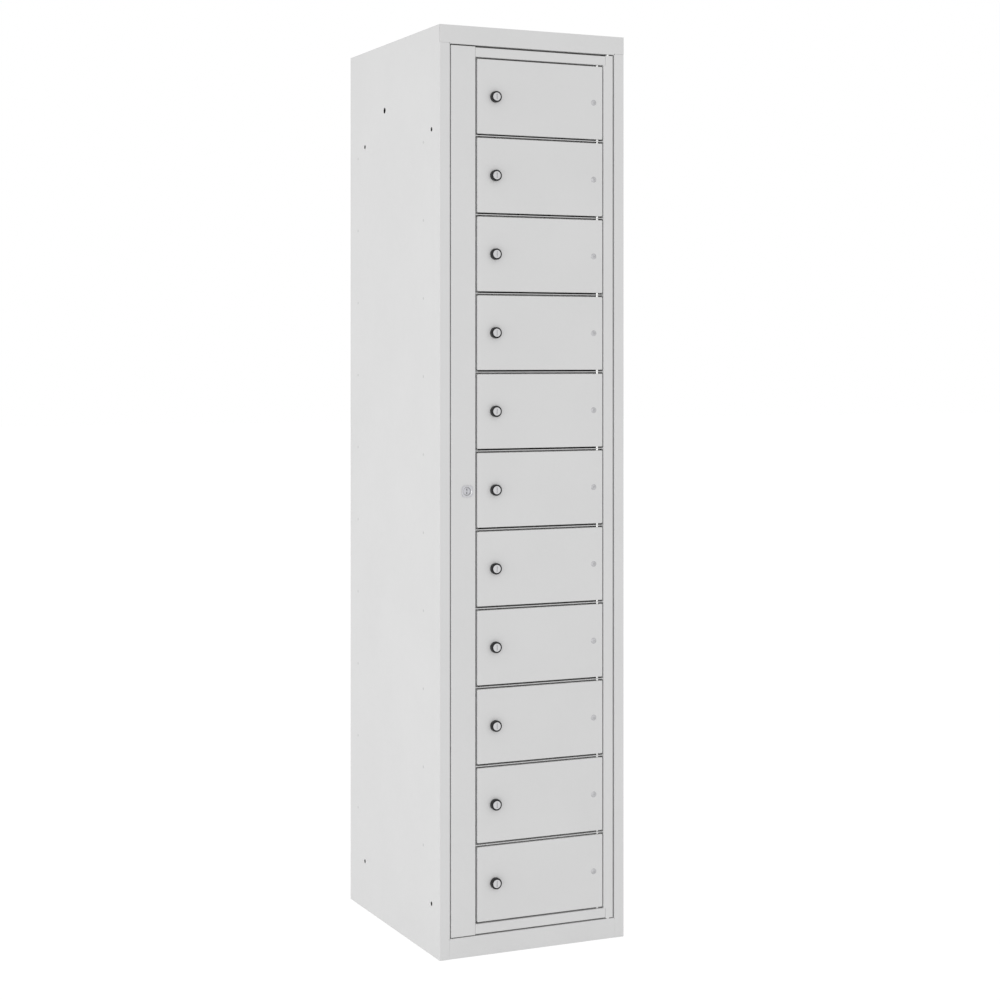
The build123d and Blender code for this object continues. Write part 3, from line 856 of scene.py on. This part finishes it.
def cross_sheet(start, runs, metal, span, web_run, flange_run=None):
    """A sheet between the stiles. Behind the stiles' flanges its web is narrower, and the flange
    that hangs from the web is narrower still."""
    line = fold_line(start, runs, FRAME_SHEET, metal)
    low, high = span
    notch_start = along(line, web_run, stop_depth - BEND)
    notches = [
        (notch_start, line.s[-1], low, rows_left + stop_flange),
        (notch_start, line.s[-1], rows_right - BEND, high),
    ]
    if flange_run is not None:
        flange_start = along(line, flange_run, -clear)
        notches.append((flange_start, line.s[-1], rows_right - hinge_flange, high))
    hole = (along(line, web_run, pin_inset), pin_x, pin_radius)
    return folded_sheet(line, (low, high), "X", notches, holes=[hole])


def top_rail():
    """Return, face, web and hanging flange of the frame door's upper rail."""
    runs = -rail_return, rows_top - rail_top, web_depth, -crossbar_drop
    return cross_sheet((front + rail_return, rail_top), runs, LEFT, rail_x, web_run=2, flange_run=3)


def bottom_rail():
    """Return, face and web of the frame door's lower rail."""
    runs = -rail_return, rows_bottom - rail_bottom, web_depth
    return cross_sheet((front + rail_return, rail_bottom), runs, RIGHT, rail_x, web_run=2)


def crossbar():
    """Web and hanging flange, with the middle of the web at height 0."""
    start, runs = (front, -FRAME_SHEET / 2), (web_depth, -crossbar_drop)
    bar_x = rows_left + seam, rows_right - seam
    return cross_sheet(start, runs, LEFT, bar_x, web_run=0, flange_run=1)


add_frame_sheet("top_rail", top_rail())
add_frame_sheet("bottom_rail", bottom_rail())
bar = crossbar()
bars = joined(*[moved(bar, z=z - row_pitch / 2) for z in door_heights[:-1]])
add_piece("crossbar_sheets", bars, frame_paint, "frame_door", "frame_crossbars", "frame_paint")
print(len(door_heights) - 1, "crossbars")

# %% [markdown]
# ## Hinge pins
#
# The doors turn on plain steel pins. Each is a short turned rod with rounded ends, pressed
# through a crossbar so that it serves the door above and the door below. The frame door's lower
# pin has a shoulder that carries its weight.

# %% Pins
PIN_EDGE = 0.8
PIN_START = 0.15  # radians along the rounding where it leaves the flat end


def pin(radius, low, high):
    """A rod with rounded ends, the second a mirror image of the first."""
    start = rounded_edge(round_part(radius), low, PIN_EDGE, PIN_START)
    end = [(r, low + high - z) for r, z in reversed(start)]
    return turned(start + end, axis="Z")


def add_turned(name, parts, material, body, node, slot, edge=0.1):
    """Adds a piece made of turned parts, each given as (mesh, profile) and a shift."""
    mesh = joined(*[moved(mesh, *shift) for (mesh, _), shift in parts])
    profile = np.concatenate([profile for (_, profile), _ in parts])
    return add_piece(name, mesh, material, body, node, slot, edge, profile=profile)


pin_reach, pin_tail = 9.0, 4.0
pin_place = (pin_x, front + pin_inset)
row_edges = [door_heights[0] + row_pitch / 2] + [z - row_pitch / 2 for z in door_heights]
reaches = [(-pin_reach, pin_reach) for _ in row_edges]
reaches[0], reaches[-1] = (-pin_reach, pin_tail), (-pin_tail, pin_reach)
small_pins = [(pin(pin_radius, *ends), (*pin_place, z)) for ends, z in zip(reaches, row_edges)]
pin_node = "compartment_hinge_pins"
add_turned("small_door_pins", small_pins, bright_steel, "frame_door", pin_node, "pin_steel")

frame_pin_radius, frame_pin_reach, shoulder_radius, shoulder_play = 3.0, 8.0, 4.0, 0.1
pins_low, pins_high = box_mm("frame_hinge_pins")
frame_pin_place = (*((pins_low + pins_high) / 2)[:2], 0)
lower_end = pins_low[Z], frame_bottom + frame_pin_reach
upper_end = frame_top - frame_pin_reach, pins_high[Z]
frame_pins = [(pin(frame_pin_radius, *ends), frame_pin_place) for ends in (lower_end, upper_end)]
shoulder_ends = plinth_height, frame_bottom - shoulder_play
shoulder = turned([(shoulder_radius, z) for z in shoulder_ends], axis="Z")
frame_pins.append((shoulder, frame_pin_place))
add_turned("frame_door_pins", frame_pins, bright_steel, "carcass", "frame_hinge_pins", "pin_steel")
print(len(small_pins), "small pins and", len(frame_pins) - 1, "large ones")

# %% [markdown]
# ## A small door
#
# The door is a tray 14 mm deep. Its outline is a rectangle whose corners are rounded by a fixed
# radius, so every point on the rim of the tray is a point of a smaller rectangle, the core,
# moved outwards. The face around the core and the folded edge are then one grid: how far round
# the core, and how far out and back. The lock side is folded once more into a lip.

# %% Sizes of a small door
DOOR_SHEET = 1.0
door_low, door_high = door_boxes[0]
door_left, door_right = door_low[X], door_high[X]
half_height = (door_high[Z] - door_low[Z]) / 2
door_depth, door_lip = 14.0, 11.0
corner_radius = 2.4
edge_radius = BEND + DOOR_SHEET
lock_x, rivet_x, rivet_radius = -82.8, 132.2, 2.4
play = 0.05  # round a hinge pin and a rivet
pin_hole = pin_radius + play
print(f"a small door is {door_right - door_left:.1f} x {2 * half_height:.1f} mm")


# %% Once round the door
def around_core(x_lines, z_lines, grid):
    """Clockwise round the core's edge from its lower left corner: each station's place, outward
    direction and grid point. At a corner the place stays while the direction turns in steps."""
    cells = np.arange(grid.size).reshape(grid.shape)
    sides = [cells[0, :-1], cells[:-1, -1], cells[-1, :0:-1], cells[:0:-1, 0]]
    copies = [np.append(1 + ARC_STEPS, np.ones(len(row) - 1, int)) for row in sides]
    ring = np.repeat(np.concatenate(sides), np.concatenate(copies))
    steps = np.cumsum(np.append(0, ring[1:] == ring[:-1]))
    angle = 1.5 * np.pi - steps * np.pi / 2 / ARC_STEPS
    ring, angle = np.roll(ring, -ARC_STEPS), np.roll(angle, -ARC_STEPS)
    i, j = np.divmod(ring, len(z_lines))
    place = np.stack([x_lines[i], z_lines[j]], axis=1)
    return place, np.stack([np.cos(angle), np.sin(angle)], axis=1), grid[i, j]


def wrapped(values):
    """The same values with the first one again at the end."""
    return np.concatenate([values, values[:1]])


# %% The tray
def door_tray():
    """Face point = (x, front, z). Rim point = core place + (corner radius - inset) times outward,
    where inset = r (1 - sin b) and depth = r (1 - cos b) round the edge, then straight back."""
    spots = [(lock_x, 0.0, barrel_radius, None), (rivet_x, 0.0, rivet_radius, None)]
    spot_x, spot_z = squares(spots)
    pin_patch = PATCH * pin_hole * np.array([-1, 1])
    core_half = half_height - corner_radius
    core_x = [door_left + corner_radius, door_right - corner_radius]
    x_lines = grid_lines(core_x, spot_x, pin_x + pin_patch)
    z_lines = grid_lines([-core_half, core_half], spot_z)
    skin = Skin()

    def on_face(x, z, depth):
        return points_along("Y", x, z, front + depth), np.array([0.0, 1.0, 0.0])

    face = skin.add(*on_face(x_lines[:, None], z_lines[None, :], 0.0))
    skin.cells(face, outside(spots, x_lines, z_lines))
    for spot in spots:
        round_patch(skin, face, x_lines, z_lines, on_face, spot)

    core, outward, base = around_core(x_lines, z_lines, face)
    wall_y = [*(pin_inset + pin_patch), door_depth - edge_radius, door_depth]
    turn = np.linspace(0, np.pi / 2, ARC_STEPS + 1)
    bend = np.append(turn, np.full(len(wall_y), np.pi / 2))
    y = np.append(edge_radius * (1 - np.cos(turn)), wall_y)
    reach = corner_radius - edge_radius * (1 - np.sin(bend))
    rim_x, rim_z = (core[:, [n]] + reach * outward[:, [n]] for n in (0, 1))
    inward = points_along("Y", *(-np.sin(bend) * outward[:, [n]] for n in (0, 1)), np.cos(bend))
    band = wrapped(skin.add(points_along("Y", rim_x, rim_z, front + y), inward))
    base = wrapped(base)
    first = np.stack([base[:-1], base[1:], band[1:, 0], band[:-1, 0]], axis=1)
    fan = base[:-1] == base[1:]  # at a corner the quads are triangles
    skin.faces += [first[~fan], first[fan][:, [0, 2, 3]]]

    edge, facing = wrapped(core + corner_radius * outward), wrapped(outward)
    s_lines = np.append(0, np.cumsum(np.linalg.norm(np.diff(edge, axis=0), axis=1)))

    def on_wall(s, depth_back, depth):
        x, z, way_x, way_z = (np.interp(s, s_lines, column) for column in (*edge.T, *facing.T))
        into = points_along("Y", -way_x, -way_z, 0.0)
        return points_along("Y", x, z, front + depth_back) + depth * into, into

    pin_spots = []
    for up in (-1, 1):
        wall = np.isclose(facing[:, 1], up)
        order = np.argsort(edge[wall, 0])
        s_pin = np.interp(pin_x, edge[wall, 0][order], s_lines[wall][order])
        pin_spots.append((s_pin, pin_inset, pin_hole, None))
    keep = outside(pin_spots, s_lines, y)
    keep[: len(z_lines) - 1, -1] = False  # the lip starts here instead
    skin.cells(band, keep)
    for spot in pin_spots:
        round_patch(skin, band[:, ARC_STEPS:], s_lines, y[ARC_STEPS:], on_wall, spot)

    lip_bend = np.append(turn[1:], np.pi / 2)
    lip_x = door_left + np.append(edge_radius * (1 - np.cos(turn[1:])), door_lip)
    lip_y = front + door_depth - edge_radius * (1 - np.sin(lip_bend))
    lip_in = points_along("Z", np.cos(lip_bend), -np.sin(lip_bend), 0.0)
    lip = skin.add(points_along("Z", lip_x, lip_y, z_lines[:, None]), lip_in)
    skin.cells(np.concatenate([band[: len(z_lines), -2:-1], lip], axis=1))
    return skin.shell(DOOR_SHEET)


# %% Stiffener and rivet
def stiffener():
    """The angle that is riveted and glued behind the door's free end."""
    leg, stand, half_length = 20.0, 9.0, 60.0
    line = fold_line((rivet_x + leg / 2, front + DOOR_SHEET), (-leg, stand), DOOR_SHEET, RIGHT)
    hole = (along(line, 0, leg / 2), 0.0, rivet_radius)
    return folded_sheet(line, (-half_length, half_length), "Z", holes=[hole])


def blind_rivet():
    """Head that is a cap of a sphere, with the snapped mandrel in its middle, shank and tail."""
    head_radius, head_height, mandrel_hole, mandrel_sink = 6.0, 1.2, 1.4, 0.45
    tail_radius, tail_straight, tail_end, tail_length = 3.4, 2.1, 2.2, 3.0
    sphere = (head_radius**2 + head_height**2) / (2 * head_height)
    crown, grip, shank = front - head_height, front + 2 * DOOR_SHEET, rivet_radius - play
    mandrel = (0.9, -0.1), (1.15, 0.0), (1.2, 0.2)  # radius and depth of the broken end's rings
    rings = [(r, crown + mandrel_sink + depth) for r, depth in mandrel]
    for r in np.linspace(mandrel_hole, head_radius, CURVE_RINGS):
        rings.append((r, crown + sphere - np.sqrt(sphere**2 - r**2)))
    rings += [(shank, front), (shank, grip), (tail_radius, grip)]
    rings += [(tail_radius, grip + tail_straight), (tail_end, grip + tail_length)]
    return turned(rings)


tray = joined(door_tray(), stiffener())
rivet = blind_rivet()
print("a door has", len(tray[0]), "points")

# %% [markdown]
# ## Cam locks
#
# A cam lock is a barrel clamped by a nut, a plug that the key turns and a cam on the plug's tail.
# The bezel's front edge is rounded, the plug sits in a recess and stands 0.3 mm out of it, and a
# small spring shutter behind the key slot keeps dust out. The frame door's lock is the same
# mechanism behind a square plate, with its plug sunk 3.5 mm into the plate.

# %% The square plate and the flared mouths
plate_half, plate_corner = 11.0, 5.0
MOUTH_START = 0.6  # radians along the ellipse where a plug's seat begins to flare


def square_plate(inset):
    """Distance to the edge of a square with round corners, drawn in by an inset. Along a ray the
    corner circle is met at t = b + sqrt(b^2 - 2 c^2 + r^2), b = c (|cos a| + |sin a|)."""
    half, radius = plate_half - inset, plate_corner - inset
    c, s = np.abs(np.cos(ANGLES)), np.abs(np.sin(ANGLES))
    core = half - radius
    straight = half / np.maximum(c, s)
    in_corner = straight * np.minimum(c, s) > core
    b = core * (c + s)
    rounded = b + np.sqrt(np.maximum(b**2 - 2 * core**2 + radius**2, 0))
    return np.where(in_corner, rounded, straight)


def mouth(radius, rim, across, deep):
    """Rings where a seat flares out to the rim, along part of an ellipse from angle t0 on: the
    radius grows as cos t0 - cos t and the depth shrinks as 1 - sin t."""
    t = np.linspace(MOUTH_START, np.pi / 2, CURVE_RINGS)
    flare = across * (np.cos(MOUTH_START) - np.cos(t)) / np.cos(MOUTH_START)
    depth = deep * (1 - np.sin(t)) / (1 - np.sin(MOUTH_START))
    return list(zip(radius + flare, rim + depth))


# %% Barrel, nut and plug
barrel_flats, nut_width, nut_thickness = 16.5, 24.0, 4.0
nut_chamfer, nut_face = 0.6, 25.44  # the chamfer's height, and the round face that it leaves
thread_gap = 0.1  # round the barrel in its nut, and round the plug's tail in its cam
plug_body_radius, plug_clearance, seat_gap, tail_half = 6.5, 0.07, 0.2, 3.5
slot_half_width, slot_half_height, slot_depth = 1.1, 5.25, 11.0
cam_gap, cam_thickness = 0.5, 2.0

slot_corner = np.arctan2(slot_half_height, slot_half_width)
corner_angles = [slot_corner, np.pi - slot_corner, np.pi + slot_corner, 2 * np.pi - slot_corner]
PLUG_ANGLES = grid_lines(ANGLES, corner_angles)


def barrel(head, mouth_rings, seat, radius, end):
    """Bore, seat, mouth, head, barrel with two flats behind the nut, and back into the bore."""
    bore, flats_from = plug_body_radius + plug_clearance, front + FRAME_SHEET + nut_thickness
    flats = np.minimum(barrel_radius, box_radius(barrel_flats / 2, 2 * barrel_radius, ANGLES))
    rings = [(bore, seat), (radius + plug_clearance, seat), *mouth_rings, *head]
    rings += [(barrel_radius, front), (barrel_radius, flats_from)]
    rings += [(flats, flats_from), (flats, end), (bore, end)]
    return turned(rings, hollow=True)


def nut(sheet):
    """Thin hexagon nut with chamfered corners, against the back of a sheet."""
    near, far = front + sheet, front + sheet + nut_thickness
    hexagon, hole = hexagon_radius(nut_width), barrel_radius + thread_gap
    face = np.minimum(hexagon, nut_face / 2)
    rings = [(hole, near), (face, near), (hexagon, near + nut_chamfer)]
    rings += [(hexagon, far - nut_chamfer), (face, far), (hole, far)]
    return turned(rings, hollow=True)


def plug(face, seat, radius, edge, end):
    """Key slot, face, head, body and the square tail that turns the cam."""
    head_back = seat - seat_gap
    slot = box_radius(slot_half_width, slot_half_height, PLUG_ANGLES)
    tail = box_radius(tail_half, tail_half, PLUG_ANGLES)
    rings = [(slot, face + slot_depth), (slot, face), *rounded_edge(round_part(radius), face, edge)]
    rings += [(radius, head_back), (plug_body_radius, head_back), (plug_body_radius, end)]
    return turned([*rings, (tail, end), (tail, end + cam_gap + cam_thickness)], PLUG_ANGLES)


# %% Shutter, cam and the whole lock
shutter_sheet, shutter_gap = 0.6, 0.05
cam_hub, cam_tip = 9.0, 6.0
HUB_POINTS, TIP_POINTS = 37, 13
screw_radius, screw_height, screw_key, screw_floor = 4.5, 2.5, 5.0, 0.9
screw_edge = [(0.6, 0.0), (0.2, 0.2), (0.0, 0.6)]  # how far in and how far down each ring lies


def shutter(near, half):
    """Spring plate across the key slot, this far up and down from the slot's middle."""
    half_width = slot_half_width - shutter_gap
    return plate((-half_width, half_width), (near, near + shutter_sheet), (-half, half))


def cam(barrel_end, length):
    """Hub circle and tip circle joined by straight sides, with the screw that holds it."""
    near = barrel_end + cam_gap
    far = near + cam_thickness
    reach = np.arcsin(cam_tip / cam_hub)
    hub = np.linspace(reach - np.pi / 2, 3 * np.pi / 2 - reach, HUB_POINTS)
    tip = np.linspace(np.pi, 2 * np.pi, TIP_POINTS)
    x = np.append(cam_hub * np.cos(hub), cam_tip * np.cos(tip))
    z = np.append(cam_hub * np.sin(hub), cam_tip * np.sin(tip) + cam_tip - length)
    outline, angles = np.hypot(x, z), np.unwrap(np.arctan2(z, x))
    hole = box_radius(tail_half + thread_gap, tail_half + thread_gap, angles)
    plate_rings = [(hole, near), (outline, near), (outline, far), (hole, far)]
    key, crown = hexagon_radius(screw_key), far + screw_height
    screw = [(key, far + screw_floor), (key, crown)]
    screw += [(screw_radius - inset, crown - drop) for inset, drop in screw_edge]
    return turned(plate_rings, angles, hollow=True), turned([*screw, (screw_radius, far)])


def cam_lock(head, mouth_rings, face, seat, radius, edge, sheet, length, cam_length):
    """A lock's turned parts. Its plug has this face, seat, radius and front edge."""
    end = front + length
    return {
        "barrel": [barrel(head, mouth_rings, seat, radius, end)],
        "nut": [nut(sheet)],
        "plug": [plug(face, seat, radius, edge, end)],
        "cam": cam(end, cam_length),
    }


# %% The doors' lock
bezel_radius, bezel_height, bezel_recess = 11.0, 8.2, 4.0
door_plug_radius, plug_proud, shutter_sink = 7.9, 0.3, 0.7
whole_slot = slot_half_height - shutter_gap
bezel_rim = front - bezel_height
door_face = bezel_rim - plug_proud
door_lock = cam_lock(
    head=[*rounded_edge(round_part(bezel_radius), bezel_rim, radius=1.5), (bezel_radius, front)],
    mouth_rings=mouth(door_plug_radius + plug_clearance, bezel_rim, across=0.2, deep=0.2),
    face=door_face, seat=bezel_rim + bezel_recess, radius=door_plug_radius, edge=0.3,
    sheet=DOOR_SHEET, length=17.0, cam_length=38.0,
)
door_shutters = [("shutter", shutter(door_face + shutter_sink, whole_slot), dull_steel)]
print("a door's lock:", ", ".join(door_lock))

# %% The frame door's lock, and the chromed collar that lightens the shade in the mouth of its plate
plate_thickness, plate_recess, plug_sink, frame_plug_radius = 1.6, 6.5, 3.5, 7.0
deep_sink, bridge_half = 3.0, 1.4  # the slot looks deeper above and below a narrow bridge
plate_rim = front - plate_thickness
frame_face, frame_seat = plate_rim + plug_sink, frame_plug_radius + plug_clearance
# painted light: a chrome collar, brighter than the nickel plate, lines the mouth so that its shade
# reads lighter
collar_inside, collar_outside, plate_mouth = [
    mouth(frame_seat + wider, plate_rim, across=2.6, deep=3.4) for wider in (0, 0.25, 0.3)
]
frame_lock = cam_lock(
    head=[*rounded_edge(square_plate, plate_rim, radius=0.5), (square_plate(0.0), front)],
    mouth_rings=plate_mouth,
    face=frame_face, seat=plate_rim + plate_recess, radius=frame_plug_radius, edge=0.12,
    sheet=FRAME_SHEET, length=22.8, cam_length=34.0,
)
frame_shutters = [
    ("shutter", shutter(frame_face + deep_sink, whole_slot), dull_steel),
    ("shutter_bridge", shutter(frame_face + shutter_sink, bridge_half), zinc),
]
collar = turned([*collar_inside, *reversed(collar_outside)], hollow=True)
print("the frame door's plug lies", plug_sink, "mm behind its plate's face")


# %% Hang a lock
def add_lock(name, lock, shutters, shift, bodies, nodes, barrel_look, plug_look):
    """Hangs a lock's parts on the door and on the turning plug. A look is a finish and a slot."""
    (door_body, plug_body), (barrel_node, plug_node, cam_node) = bodies, nodes
    steel = zinc, "zinc_steel"
    for part, body, node, (finish, slot) in [
        ("barrel", door_body, barrel_node, barrel_look),
        ("nut", door_body, barrel_node, steel),
        ("plug", plug_body, plug_node, plug_look),
        ("cam", plug_body, cam_node, steel),
    ]:
        parts = [(turned_part, shift) for turned_part in lock[part]]
        add_turned(f"{name}_{part}", parts, finish, body, node, slot)
    for part, mesh, finish in shutters:
        place = plug_body, plug_node, "zinc_steel"
        add_piece(f"{name}_{part}", moved(mesh, *shift), finish, *place, edge=0.05)


frame_lock_place = (frame_lock_x, 0, frame_lock_z)
frame_lock_nodes = [f"frame_lock_{part}" for part in ("body", "plug", "cam")]
frame_lock_look = (nickel, "lock_nickel")
add_lock(
    "frame_lock", frame_lock, frame_shutters, frame_lock_place, ("frame_door", "frame_lock"),
    frame_lock_nodes, frame_lock_look, frame_lock_look,
)
# the collar's brighter chrome is painted light in the plate's shaded mouth
collar_part = [(collar, frame_lock_place)]
add_turned("frame_lock_collar", collar_part, chrome, "frame_door", "frame_lock_body", "lock_chrome")

# %% Eleven doors
for number, z in enumerate(door_heights, start=1):
    n = f"{number:02d}"
    body, node, rivet_place = f"door_{n}", f"compartment_door_{n}", (rivet_x, 0, z)
    add_piece(f"door_{n}_sheet", moved(tray, z=z), door_paint, body, node, "door_paint")
    add_turned(f"door_{n}_rivet", [(rivet, rivet_place)], dull_steel, body, node, "zinc_steel")
    lock_nodes = [f"lock_{part}_{n}" for part in ("barrel", "plug", "cam")]
    add_lock(
        f"door_{n}_lock", door_lock, door_shutters, (lock_x, 0, z), (body, f"lock_{n}"),
        lock_nodes, (black, "lock_black"), (chrome, "lock_chrome"),
    )

# %% [markdown]
# ## Ground, light and camera
#
# The cabinet stands in white surroundings under soft light that is a little stronger on its left
# side than on its front. The surroundings look white by their own glow, so the lamps only have to
# suit the paint. The camera is level, which keeps the uprights parallel, and its frame is shifted
# down to the middle of the cabinet.

# %% Ground
WHITE = (1, 1, 1, 1)
FLOOR_GLOW, SEEN_GLOW = 0.435, 0.82  # the first lights the cabinet, the second is looked at


def seen_or_plain(tree, seen, plain, end):
    """One shader for the camera, straight or by way of a mirror or glass, and another for the
    light that bounces."""
    kinds = "Camera", "Glossy", "Transmission"
    rays = [add_node(tree, "LightPath", f"Is {kind} Ray") for kind in kinds]
    looked_at = rays[0]
    for ray in rays[1:]:
        looked_at = add_node(tree, "Math", "Value", {0: looked_at, 1: ray}, operation="MAXIMUM")
    choice = add_node(tree, "MixShader", "Shader", {0: looked_at, 1: plain, 2: seen})
    tree.links.new(choice, tree.nodes[end].inputs["Surface"])


def white_ground():
    """White to the eye, with a faint shadow; a plain pale floor to the light that bounces."""
    finish = Finish("white_ground", (0.5, 0.5, 0.5), roughness=0.9, emission_strength=FLOOR_GLOW)
    finish.shader.inputs["Emission Color"].default_value = WHITE
    glow = finish.add("Emission", "Emission", {"Color": WHITE, "Strength": SEEN_GLOW})
    dull = finish.add("BsdfDiffuse", "BSDF", {"Color": (0.25, 0.25, 0.25, 1)})
    bright = finish.add("AddShader", "Shader", {0: glow, 1: dull})
    seen_or_plain(finish.tree, bright, finish.shader.outputs["BSDF"], "Material Output")
    return finish.material


ground_half = 30.0  # metres
ground_signs = [(-1, -1), (1, -1), (1, 1), (-1, 1)]
ground_corners = [(ground_half * x, ground_half * y, 0) for x, y in ground_signs]
ground_data = bpy.data.meshes.new("ground")
ground_data.from_pydata(ground_corners, [], [(0, 1, 2, 3)])
ground_data.materials.append(white_ground())
ground = add_object("ground", ground_data)

# %% Light from all round
world = bpy.data.worlds.new("soft_white_room")
bpy.context.scene.world = world
world.use_nodes = True
tree = world.node_tree
room = tree.nodes["Background"]
room.inputs["Color"].default_value = WHITE
room.inputs["Strength"].default_value = 0.848
white = add_node(tree, "Background", "Background", {"Color": WHITE, "Strength": 1.0})
seen_or_plain(tree, white, room.outputs["Background"], "World Output")


# %% Lamps
def soft_box(name, place, target, size, power):
    """A square area lamp that faces a target; all in metres and watts."""
    data = bpy.data.lights.new(name, "AREA")
    data.size = size
    data.energy = power
    lamp = add_object(name, data)
    lamp.location = place
    direction = Vector(target) - Vector(place)
    lamp.rotation_euler = direction.to_track_quat("-Z", "Y").to_euler()
    return lamp


soft_box("left_soft_box", (-3.4, -0.5, 0.3), (0, 0, 0.3), 3.0, 36)
soft_box("front_soft_box", (-0.6, -6.5, 1.2), (0, 0, 0.4), 3.0, 30)

# %% Camera
camera_data = bpy.data.cameras.new("camera")
camera = add_object("camera", camera_data)
camera.location = (-1.7092, -3.8036, 1.1587)
camera.rotation_euler = (np.radians(90), 0, np.radians(-24.40))
camera_data.sensor_width = 36.0
camera_data.lens = 72.447
camera_data.shift_x = 0.01042
camera_data.shift_y = -0.14229
bpy.context.scene.camera = camera
bpy.context.scene.view_settings.view_transform = "Standard"
